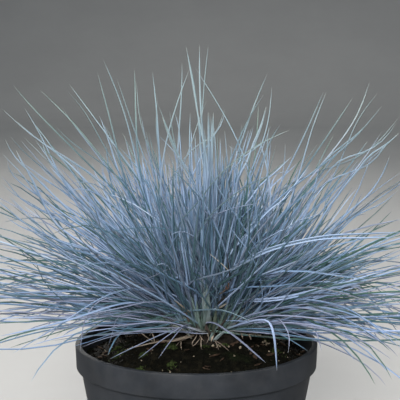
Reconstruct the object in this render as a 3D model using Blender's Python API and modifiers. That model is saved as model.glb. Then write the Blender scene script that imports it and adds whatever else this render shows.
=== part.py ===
"""Potted blue fescue clump: a dark plastic nursery pot, the mounded compost in it, and
a grass plant whose leaf tufts stand side by side on one crown.

Metres, +Z up. The origin is the centre of the pot's underside, and -Y is the front.
"""

import math
import random

import bmesh
import bpy
from mathutils import Matrix, Vector

# Nursery pot
POT_HEIGHT = 0.130
RIM_RADIUS = 0.085
RIM_BAND_HEIGHT = 0.017
RIM_BAND_STEP = 0.0030
RIM_BAND_DRAFT = 0.0006
LIP_WIDTH = 0.0042
LIP_ROUND = 0.0012
BASE_RADIUS = 0.061
BASE_CORNER = 0.0030
CORNER_STEPS = 2
WALL = 0.0024
FLOOR = 0.0032
POT_SIDES = 40
DRAIN_HOLES = 6
DRAIN_HOLE_RADIUS = 0.0050
DRAIN_CIRCLE_RADIUS = 0.0440
DRAIN_HOLE_SIDES = 12

# Compost: a straight slope from the wall up to the flat that carries the crown
GAP = 0.0003
SOIL_LEVEL = POT_HEIGHT - 0.0120
MOUND_TOP = POT_HEIGHT + 0.0040
MOUND_FLAT_RADIUS = 0.0405
SOIL_SIDES = 36

# Crown: a low dome, a little off the pot's centre as the plant grew
CROWN_CENTRE = Vector((0.0080, 0.0040, 0))
CROWN_RADIUS = 0.0335
CROWN_HEIGHT = 0.0120
CROWN_RINGS = 4
CROWN_SIDES = 20

# Leaf tufts: one sheath each, which splits into its leaves
TUFTS = 50
LEAVES_IN_TUFT = 5
TUFT_CIRCLE = 0.93
STAND_OFF = 0.0005
SHEATH_RADIUS = 0.0024
SHEATH_TOP_RADIUS = 0.0028
SHEATH_LENGTH = 0.0180
LEAF_PARTING = 0.00028
LEAF_REACH = 0.201
LEAF_REACH_SPREAD = 0.009
LEAF_STATIONS = (0.30, 0.60, 0.86)
LEAF_TAPER = (1.0, 0.85, 0.55)
SHORTEST_LEAF = 0.80
SPLAY_SLOPE = (0.055, 0.125)

# Lean of a tuft from upright, in degrees, from the middle of the crown to its edge.
# The share FRONT_LEAN_CUT of it is taken off at the front.
EDGE_LEAN = 88.0
LEAN_JITTER = 2.0
HEADING_JITTER = 3.5
FRONT_LEAN_CUT = 0.45
FRONT_HALF_ANGLE = 80.0
BEND_LENGTH = 0.026
DROOP = 27.0
CURVE_STEPS = 24

# A face whose normal is this upright, or more, counts as level
LEVEL = 0.99

GOLDEN_ANGLE = math.pi * (3 - math.sqrt(5))
FRONT = math.radians(-90)
SEED = 7

COLOURS = {
    "pot_plastic": ((0.030, 0.032, 0.036), 0.55),
    "compost": ((0.035, 0.024, 0.016), 0.95),
    "crown": ((0.30, 0.24, 0.15), 0.80),
    "leaf_blue": ((0.27, 0.36, 0.44), 0.55),
}


def clear_scene():
    for obj in list(bpy.data.objects):
        bpy.data.objects.remove(obj)


def make_collection(name):
    collection = bpy.data.collections.new(name)
    bpy.context.scene.collection.children.link(collection)
    return collection


def make_material(name):
    colour, roughness = COLOURS[name]
    material = bpy.data.materials.new(name)
    material.use_nodes = True
    shader = material.node_tree.nodes["Principled BSDF"]
    shader.inputs["Base Color"].default_value = (*colour, 1)
    shader.inputs["Roughness"].default_value = roughness
    shader.inputs["Metallic"].default_value = 0.0
    return material


def add_object(name, mesh, collection, material=None):
    obj = bpy.data.objects.new(name, mesh)
    collection.objects.link(obj)
    if material:
        mesh.materials.append(material)
    return obj


def arc(centre, radius, start_deg, end_deg, steps):
    """Points (r, z) along a round corner of a turned profile."""
    points = []
    for i in range(steps + 1):
        angle = math.radians(start_deg + (end_deg - start_deg) * i / steps)
        points.append(
            (centre[0] + radius * math.cos(angle), centre[1] + radius * math.sin(angle))
        )
    return points


def turned(name, profile, sides, collection, material):
    """A solid of revolution. The profile of (r, z) points runs down its outer side."""
    mesh = bpy.data.meshes.new(name)
    edges = [(i, i + 1) for i in range(len(profile) - 1)]
    mesh.from_pydata([(r, 0, z) for r, z in profile], edges, [])
    obj = add_object(name, mesh, collection, material)
    screw = obj.modifiers.new("turn", "SCREW")
    screw.axis = "Z"
    screw.steps = sides
    screw.render_steps = sides
    screw.use_merge_vertices = True
    screw.merge_threshold = 0.0001
    screw.use_smooth_shade = True
    return obj


def wall_outside(z):
    """Outer radius of the tapered pot wall, below the rim band."""
    top = RIM_RADIUS - RIM_BAND_DRAFT - RIM_BAND_STEP
    return BASE_RADIUS + (top - BASE_RADIUS) * z / (POT_HEIGHT - RIM_BAND_HEIGHT)


def wall_inside(z):
    """Inner radius of the pot: the tapered wall, then the slope up to the lip."""
    band_foot = POT_HEIGHT - RIM_BAND_HEIGHT
    if z <= band_foot:
        return wall_outside(z) - WALL
    low = wall_outside(band_foot) - WALL
    high = RIM_RADIUS - LIP_WIDTH
    return low + (high - low) * (z - band_foot) / RIM_BAND_HEIGHT


def pot_profile():
    """Inside of the pot from its floor up, over the lip, and down the outside."""
    band_foot = POT_HEIGHT - RIM_BAND_HEIGHT
    lip_in = RIM_RADIUS - LIP_WIDTH
    inside = [
        (0, FLOOR),
        (wall_inside(FLOOR) - BASE_CORNER, FLOOR),
        (wall_inside(FLOOR + BASE_CORNER), FLOOR + BASE_CORNER),
        (wall_inside(band_foot), band_foot),
    ]
    lip_top = POT_HEIGHT - LIP_ROUND
    lip = arc((lip_in + LIP_ROUND, lip_top), LIP_ROUND, 180, 90, CORNER_STEPS)
    lip += arc((RIM_RADIUS - LIP_ROUND, lip_top), LIP_ROUND, 90, 0, CORNER_STEPS)
    band = [
        (RIM_RADIUS - RIM_BAND_DRAFT, band_foot),
        (wall_outside(band_foot), band_foot),
    ]
    base_centre = (wall_outside(0) - BASE_CORNER, BASE_CORNER)
    base = arc(base_centre, BASE_CORNER, 0, -90, CORNER_STEPS)
    return inside + lip + band + base + [(0, 0)]


def drain_cutter(collection):
    """Round cutters for the drain holes in the pot's floor, in one mesh."""
    bm = bmesh.new()
    for i in range(DRAIN_HOLES):
        angle = 2 * math.pi * (i + 0.5) / DRAIN_HOLES
        place = Vector((math.cos(angle), math.sin(angle), 0)) * DRAIN_CIRCLE_RADIUS
        place.z = FLOOR / 2
        bmesh.ops.create_cone(
            bm,
            cap_ends=True,
            segments=DRAIN_HOLE_SIDES,
            radius1=DRAIN_HOLE_RADIUS,
            radius2=DRAIN_HOLE_RADIUS,
            depth=3 * FLOOR,
            matrix=Matrix.Translation(place),
        )
    mesh = bpy.data.meshes.new("drain_cutter")
    bm.to_mesh(mesh)
    bm.free()
    cutter = add_object("drain_cutter", mesh, collection)
    cutter.hide_render = True
    cutter.display_type = "WIRE"
    return cutter


def make_pot(parts, cutters):
    material = make_material("pot_plastic")
    pot = turned("pot", pot_profile(), POT_SIDES, parts, material)
    cut = pot.modifiers.new("drain holes", "BOOLEAN")
    cut.operation = "DIFFERENCE"
    cut.object = drain_cutter(cutters)
    return pot


def compost_profile():
    band_foot = POT_HEIGHT - RIM_BAND_HEIGHT
    foot = FLOOR + GAP
    top = [
        (0, MOUND_TOP),
        (MOUND_FLAT_RADIUS, MOUND_TOP),
        (wall_inside(SOIL_LEVEL) - GAP, SOIL_LEVEL),
    ]
    side = [
        (wall_inside(band_foot) - GAP, band_foot),
        (wall_inside(foot + BASE_CORNER) - GAP, foot + BASE_CORNER),
        (wall_inside(foot) - BASE_CORNER - GAP, foot),
    ]
    return top + side + [(0, foot)]


def dome_radius():
    """Radius of the sphere that the crown's top is a cap of."""
    return (CROWN_RADIUS**2 + CROWN_HEIGHT**2) / (2 * CROWN_HEIGHT)


def dome_height(r):
    """Top of the crown at radius r."""
    sphere = dome_radius()
    centre = MOUND_TOP + GAP + CROWN_HEIGHT - sphere
    return centre + math.sqrt(sphere**2 - r**2)


def crown_profile():
    foot = MOUND_TOP + GAP
    top = []
    for i in range(CROWN_RINGS + 1):
        r = CROWN_RADIUS * i / CROWN_RINGS
        top.append((r, dome_height(r)))
    return top[:-1] + [(CROWN_RADIUS, foot), (0, foot)]


def lean_at(share, azimuth):
    """Lean of a tuft, in radians, at a share of the crown's radius. The leans cover the
    half sphere evenly, but the tufts at the front stand up more than the rest."""
    lean = math.acos(1 - share * share) * EDGE_LEAN / 90
    off_front = math.remainder(azimuth - FRONT, 2 * math.pi)
    near = max(0.0, 1 - abs(math.degrees(off_front)) / FRONT_HALF_ANGLE)
    return lean * (1 - FRONT_LEAN_CUT * near * near * (3 - 2 * near))


class TuftCurve:
    """The line that a tuft follows, from the crown outwards and then down."""

    def __init__(self, share, azimuth, reach, rng):
        radius = share * CROWN_RADIUS * TUFT_CIRCLE
        self.azimuth = azimuth + math.radians(rng.uniform(-1, 1) * HEADING_JITTER)
        self.reach = reach
        self.upright = math.asin(radius / dome_radius())
        self.lean = lean_at(share, azimuth)
        self.lean += math.radians(rng.uniform(-1, 1) * LEAN_JITTER)
        outward = Vector((math.cos(azimuth), math.sin(azimuth), 0))
        normal = outward * math.sin(self.upright)
        normal.z = math.cos(self.upright)
        self.foot = CROWN_CENTRE + outward * radius
        self.foot.z = dome_height(radius)
        self.foot += normal * STAND_OFF

    def tilt(self, along):
        """Angle from upright at a distance along the curve."""
        bent = min(1.0, along / BEND_LENGTH)
        bent = bent * bent * (3 - 2 * bent)
        sag = math.radians(DROOP) * math.sin(self.lean) ** 3
        sag *= (along / self.reach) ** 2
        return self.upright + (self.lean - self.upright) * bent + sag

    def frame(self, along):
        """Axes across and along the curve: x outwards, y sideways, z along."""
        tilt = self.tilt(along)
        c, s = math.cos(self.azimuth), math.sin(self.azimuth)
        across = Vector((math.cos(tilt) * c, math.cos(tilt) * s, -math.sin(tilt)))
        aside = Vector((-s, c, 0))
        ahead = Vector((math.sin(tilt) * c, math.sin(tilt) * s, math.cos(tilt)))
        return across, aside, ahead

    def bend(self, point):
        """Carries a point of a straight, upright tuft to its place in the bent one."""
        place = self.foot.copy()
        step = point.z / CURVE_STEPS
        for i in range(CURVE_STEPS):
            place += self.frame((i + 0.5) * step)[2] * step
        across, aside, _ = self.frame(point.z)
        return place + across * point.x + aside * point.y


def grow_leaf(bm, face, length, slope):
    """Draws one straight leaf out of a face of the sheath's top, to a point."""
    start = face.calc_center_median()
    away = Vector((start.x, start.y, 0)).normalized()
    outline = [v.co - start for v in face.verts]
    for station, taper in zip(LEAF_STATIONS, LEAF_TAPER):
        grown = bmesh.ops.extrude_discrete_faces(bm, faces=[face])
        face = grown["faces"][0]
        rise = length * station
        centre = start + away * slope * rise + Vector((0, 0, rise))
        for vert, offset in zip(face.verts, outline):
            vert.co = centre + offset * taper
    tip = start + away * slope * length + Vector((0, 0, length))
    pointed = bmesh.ops.poke(bm, faces=[face])
    pointed["verts"][0].co = tip


def straight_tuft(reach, rng):
    """A sheath with its leaves, upright on the origin."""
    bm = bmesh.new()
    bmesh.ops.create_cone(
        bm,
        cap_ends=True,
        cap_tris=True,
        segments=LEAVES_IN_TUFT,
        radius1=SHEATH_RADIUS,
        radius2=SHEATH_TOP_RADIUS,
        depth=SHEATH_LENGTH,
        matrix=Matrix.Translation((0, 0, SHEATH_LENGTH / 2)),
    )
    bmesh.ops.bisect_plane(
        bm,
        geom=bm.verts[:] + bm.edges[:] + bm.faces[:],
        plane_co=(0, 0, SHEATH_LENGTH / 2),
        plane_no=(0, 0, 1),
    )
    foot = [f for f in bm.faces if f.normal.z < -LEVEL]
    bmesh.ops.dissolve_faces(bm, faces=foot, use_verts=False)
    tops = [f for f in bm.faces if f.normal.z > LEVEL]
    bmesh.ops.inset_individual(bm, faces=tops, thickness=LEAF_PARTING)
    longest = reach - SHEATH_LENGTH
    long_leaf = rng.randrange(LEAVES_IN_TUFT)
    for i, face in enumerate(tops):
        share = 1.0 if i == long_leaf else rng.uniform(SHORTEST_LEAF, 1.0)
        grow_leaf(bm, face, longest * share, rng.uniform(*SPLAY_SLOPE))
    return bm


def make_tuft(number, parts, material, rng):
    share = math.sqrt((number - 0.5) / TUFTS)
    azimuth = number * GOLDEN_ANGLE
    reach = LEAF_REACH + rng.uniform(-1, 1) * LEAF_REACH_SPREAD
    curve = TuftCurve(share, azimuth, reach, rng)
    bm = straight_tuft(reach, rng)
    bmesh.ops.rotate(
        bm,
        verts=bm.verts,
        cent=(0, 0, 0),
        matrix=Matrix.Rotation(rng.uniform(0, 2 * math.pi), 3, "Z"),
    )
    for vert in bm.verts:
        vert.co = curve.bend(vert.co)
    name = f"leaf_tuft_{number:02d}"
    mesh = bpy.data.meshes.new(name)
    bm.to_mesh(mesh)
    bm.free()
    return add_object(name, mesh, parts, material)


def main():
    clear_scene()
    rng = random.Random(SEED)
    parts = make_collection("potted_blue_fescue")
    cutters = make_collection("cutters")
    make_pot(parts, cutters)
    compost = make_material("compost")
    turned("compost", compost_profile(), SOIL_SIDES, parts, compost)
    crown = make_material("crown")
    dome = turned("crown", crown_profile(), CROWN_SIDES, parts, crown)
    dome.location = CROWN_CENTRE
    leaf = make_material("leaf_blue")
    for number in range(1, TUFTS + 1):
        make_tuft(number, parts, leaf, rng)


main()
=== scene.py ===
import math

import bmesh
import bpy
import numpy as np
from mathutils import Euler, Matrix, Vector
from mathutils.bvhtree import BVHTree


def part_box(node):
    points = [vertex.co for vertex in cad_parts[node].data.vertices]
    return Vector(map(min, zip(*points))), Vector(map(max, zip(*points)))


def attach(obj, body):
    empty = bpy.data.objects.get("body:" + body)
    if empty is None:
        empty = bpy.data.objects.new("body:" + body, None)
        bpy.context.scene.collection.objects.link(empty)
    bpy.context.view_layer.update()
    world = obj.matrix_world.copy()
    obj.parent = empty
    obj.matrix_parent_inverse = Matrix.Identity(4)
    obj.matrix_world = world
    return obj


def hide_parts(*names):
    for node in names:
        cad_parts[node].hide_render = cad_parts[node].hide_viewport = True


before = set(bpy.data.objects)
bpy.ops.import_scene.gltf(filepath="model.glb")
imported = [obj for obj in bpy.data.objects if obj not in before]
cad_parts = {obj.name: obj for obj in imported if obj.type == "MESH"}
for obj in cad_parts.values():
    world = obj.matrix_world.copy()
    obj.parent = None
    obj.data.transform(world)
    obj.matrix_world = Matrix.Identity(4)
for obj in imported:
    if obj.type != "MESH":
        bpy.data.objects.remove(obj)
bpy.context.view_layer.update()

# Camera: the pot's rim is 240.3 pixels across in the photograph, at 0.9 m
IMAGE_SIDE = 400
FOCAL_PIXELS = 1269
CAMERA_PLACE = Vector((0.0025, -0.869, 0.363))
CAMERA_PITCH = 8.7
SENSOR = 36.0

# Studio: a round floor that curves up into a wall, the sky's light, and the lamps by name,
# place, size, power and spread in degrees
COVE_FLOOR = 3.0
COVE_CURVE = 1.5
COVE_HEIGHT = 4.6
COVE_STEPS = 12
SKY_COLOUR = (0.87, 0.94, 1.0, 1)
SKY_STRENGTH = 0.64
LAMP_COLOUR = (1.0, 0.975, 0.94)
LAMP_AIM = Vector((0, 0, 0.2))
LAMPS = (
    ("overhead", (-0.3, -0.40, 3.2), 1.8, 14, 180),
    ("front", (-0.3, -3.6, 1.9), 1.5, 20, 36),
    ("behind", (-0.5, 3.4, 1.5), 1.5, 9, 36),
    ("left", (-3.4, 0.6, 1.5), 1.5, 4, 36),
    ("right", (3.4, 0.6, 1.5), 1.5, 2.4, 36),
)

# The pot: its height and its rim are read from its solid, and the rest is as in the solid
POT_LOW, POT_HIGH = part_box("pot")
POT_HEIGHT = POT_HIGH.z
RIM_RADIUS = (POT_HIGH.x - POT_LOW.x) / 2
BASE_RADIUS = 0.061
RIM_BAND = 0.017
BAND_FOOT = POT_HEIGHT - RIM_BAND
BAND_STEP = 0.0030
BAND_UNDERSIDE = 0.0004
BAND_DRAFT = 0.0006
LIP_WIDTH = 0.0042
WALL = 0.0024
POT_FLOOR = 0.0032
POT_SIDES = 144
POT_BEVEL = 0.0010
DRAIN_HOLES = 6
DRAIN_RADIUS = 0.0050
DRAIN_CIRCLE = 0.0440

# Compost: its solid's slope from the wall up to the crown, lumps by their size and depth, and
# its clearance from the wall at its edge, from the pot's floor and from the wall below
SOIL_LOW, SOIL_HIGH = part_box("compost")
SOIL_RADIUS = (SOIL_HIGH.x - SOIL_LOW.x) / 2
SOIL_EDGE = POT_HEIGHT - 0.0120
SOIL_FLAT_RADIUS = 0.0405
SOIL_SIDES = 180
SOIL_RINGS = 44
SOIL_LUMPS = ((0.0120, 0.0034), (0.0036, 0.0022), (0.0014, 0.0010))
EDGE_GAP, FLOOR_GAP, SIDE_GAP = 0.0002, 0.0003, 0.0004

# Crown: a low dome. Feet of leaves keep within a share of its radius, and to the front they
# keep within a smaller one, because the crown is bare there
CROWN_LOW, CROWN_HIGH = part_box("crown")
CROWN_CENTRE = (CROWN_LOW + CROWN_HIGH) / 2
CROWN_RADIUS = (CROWN_HIGH.x - CROWN_LOW.x) / 2
CROWN_DOME = 0.9 * (CROWN_HIGH.z - CROWN_LOW.z)
FEET_WITHIN = 0.84
FEET_BACK = 0.52

# Leaves: sizes in metres, and tilts from upright in radians. Upright tufts, which tilt less
# than UPRIGHT_TUFT, have fewer leaves, and in low ones, which tilt more than LOW_TUFT, one
# leaf follows the solid to its tip. Feet are spread for each shoot and for each leaf in it,
# stand a little under the crown's surface, and the leaf bends over within BEND_LENGTH
LEAF_WIDTH = (0.00076, 0.00136)
SHOOTS_IN_TUFT = 6
LEAVES_IN_SHOOT = 7
UPRIGHT_TUFT = 0.75
UPRIGHT_LEAVES = 6
LOW_TUFT = 0.85
LOWEST_LEAN = math.radians(96)
FEET_SPREAD = (0.0036, 0.0012)
FOOT_DEPTH = 0.002
DOME_HEIGHT = 0.142
DOME_SHOULDER = 0.050
LONGEST_LEAF = 0.205
BEND_LENGTH = (0.020, 0.070)
SIDE_LEAVES = 24
CROSSING_LEAVES = 74

# Shares of the leaves that stray, that are dull and dark, that are short and that are long
WILD_LEAVES = 0.30
DULL_LEAVES = 0.26
SHORT_LEAVES = 0.22
LONG_LEAVES = 0.02

# The most that a tuft's leaf or a sheath points to the front, as a share of its length
FRONT_LIMIT = 0.82

# Distances from the middle, in metres, between which painted shade makes the leaves darker
OUTER_SHADE_REACH = (0.05, 0.13)

# Traced leaves: how far behind the pot's axis those of the skyline end, how many times as far
# forward as traced those in front come, the tints of old leaves, and the tint below which a
# leaf is a dark green one, with the age it is given
SKYLINE_DEPTH = (-0.050, 0.030)
FORWARD = 1.9
OLD_TINTS = (0.23, 0.41)
DARK_TINT = 0.10
DARK_AGE = 0.78

# Gaps between the bundles, seen from the camera: the lean of the middle from upright and half
# the width in degrees, and how far from the crown the gap starts, in pixels of the photograph,
# which are about this many metres at the plant
PIXEL = 0.0007
GAPS = (
    (-78, 3.0, 95), (-56, 3.0, 150), (-39, 3.0, 185), (-29, 1.6, 190), (-20, 2.0, 190),
    (-15, 1.8, 165), (-9, 2.6, 160), (-4.7, 1.6, 135), (7, 2.6, 150), (16, 1.6, 150),
    (24.5, 5.0, 150), (33, 1.6, 170), (45, 6.0, 128), (53, 2.4, 150), (66.5, 2.4, 150),
    (75, 2.0, 150), (81.5, 1.8, 62), (87.5, 2.0, 56), (-83, 1.8, 70), (-88.5, 2.0, 62),
)

# How many of each stand and lie round the crown
SHEATHS = 300
STRAWS = 18
LOOSE_ROOTS = 9
CRUMBS = 1500
CHIPS = 70
GRIT = 90
MOSS_CUSHIONS = 11
MOSS_IN_CUSHION = 80

# Leaves read from the photograph, in its pixels: tip, middle and lowest clear point
SKYLINE_LEAVES = (
    (102.7, 58.3, 122.4, 107.4, 140, 177.6), (97.2, 71.7, 111, 124, 121, 165),
    (117, 78.7, 124.4, 101, 131.4, 121.4), (134.3, 68.9, 135, 88.3, 135.8, 121.4),
    (136.5, 80.6, 141.6, 126.5, 150.5, 152), (152.4, 71, 155.6, 101, 159.4, 158.4),
    (157.5, 97.8, 156.3, 126.5, 160.5, 160), (182, 62, 181.8, 88.3, 179.8, 121.4),
    (189.4, 69, 174.7, 111.2, 164.5, 152), (185.5, 45, 195, 92, 198.3, 120),
    (208.6, 44, 205, 75.5, 203, 101), (12.8, 85, 30.6, 105.5, 71.4, 147),
    (39.3, 89.3, 74, 124, 102, 158), (68.6, 83.4, 97, 121.4, 122.4, 155.9),
    (67.3, 90.8, 81.6, 107.4, 97, 133), (62.5, 108, 71.4, 121.4, 83, 136.7),
    (1.3, 108, 40.8, 141.8, 63.8, 155.9), (30, 118.9, 42, 134, 76.5, 176.3),
    (24.2, 107.4, 42, 138, 55, 165), (10.2, 136, 24.2, 152, 42, 167.3),
    (20.2, 139.9, 33.2, 154.6, 47.2, 169.9), (56, 126.5, 71.4, 141.8, 89.3, 154.6),
    (98.9, 115, 104.6, 129, 114.8, 161), (162, 116.3, 178.6, 155.9, 191.3, 178.8),
    (169.6, 110, 171.6, 126.5, 176, 150), (174.7, 112.5, 178.6, 126.5, 180.5, 145.7),
    (267.6, 73, 256, 101, 237, 154.6), (263.8, 94, 252.3, 112.5, 242, 133),
    (272, 86.4, 266.3, 129, 251, 171), (266.7, 105.5, 260, 131.6, 251, 152),
    (224.6, 109.3, 223, 120, 214, 135.5), (194.5, 67, 219, 106, 248.5, 171),
    (280.6, 124, 271.4, 139.3, 257.4, 175), (289.9, 130, 271.4, 138, 244.6, 157),
    (292.5, 156.5, 276.5, 168.6, 267.6, 176.3), (295, 169.3, 276.5, 173.7, 238, 190),
    (324, 90.6, 308.4, 126.5, 276.5, 191.6), (326.3, 92, 311, 132.9, 302, 164.8),
    (353, 97.4, 344, 111.2, 314.8, 154.6), (370, 80.4, 355.6, 117.6, 327.6, 157),
    (378, 92.7, 359.4, 117.6, 344, 152), (382.4, 105.5, 353, 139.3, 289.3, 190.3),
    (399.6, 116.3, 365.8, 152, 309.7, 175), (400, 132.9, 359.4, 168.6, 334, 190.3),
    (382.4, 130.4, 365.8, 155.9, 353, 172.4), (360, 159, 350.5, 175, 334, 196.7),
    (389.7, 155.9, 383.7, 172.4, 365.8, 196.7), (402, 171.2, 381, 186.5, 363.3, 200),
    (208.7, 111.2, 209.5, 140, 208, 200), (213, 112.5, 212.5, 140, 211, 200),
    (318, 143, 308, 158, 290, 184), (270.8, 125.3, 262, 150, 248, 186),
    (241.5, 124, 240, 150, 232, 200), (251.7, 126.5, 246, 150, 236, 190),
)

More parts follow.
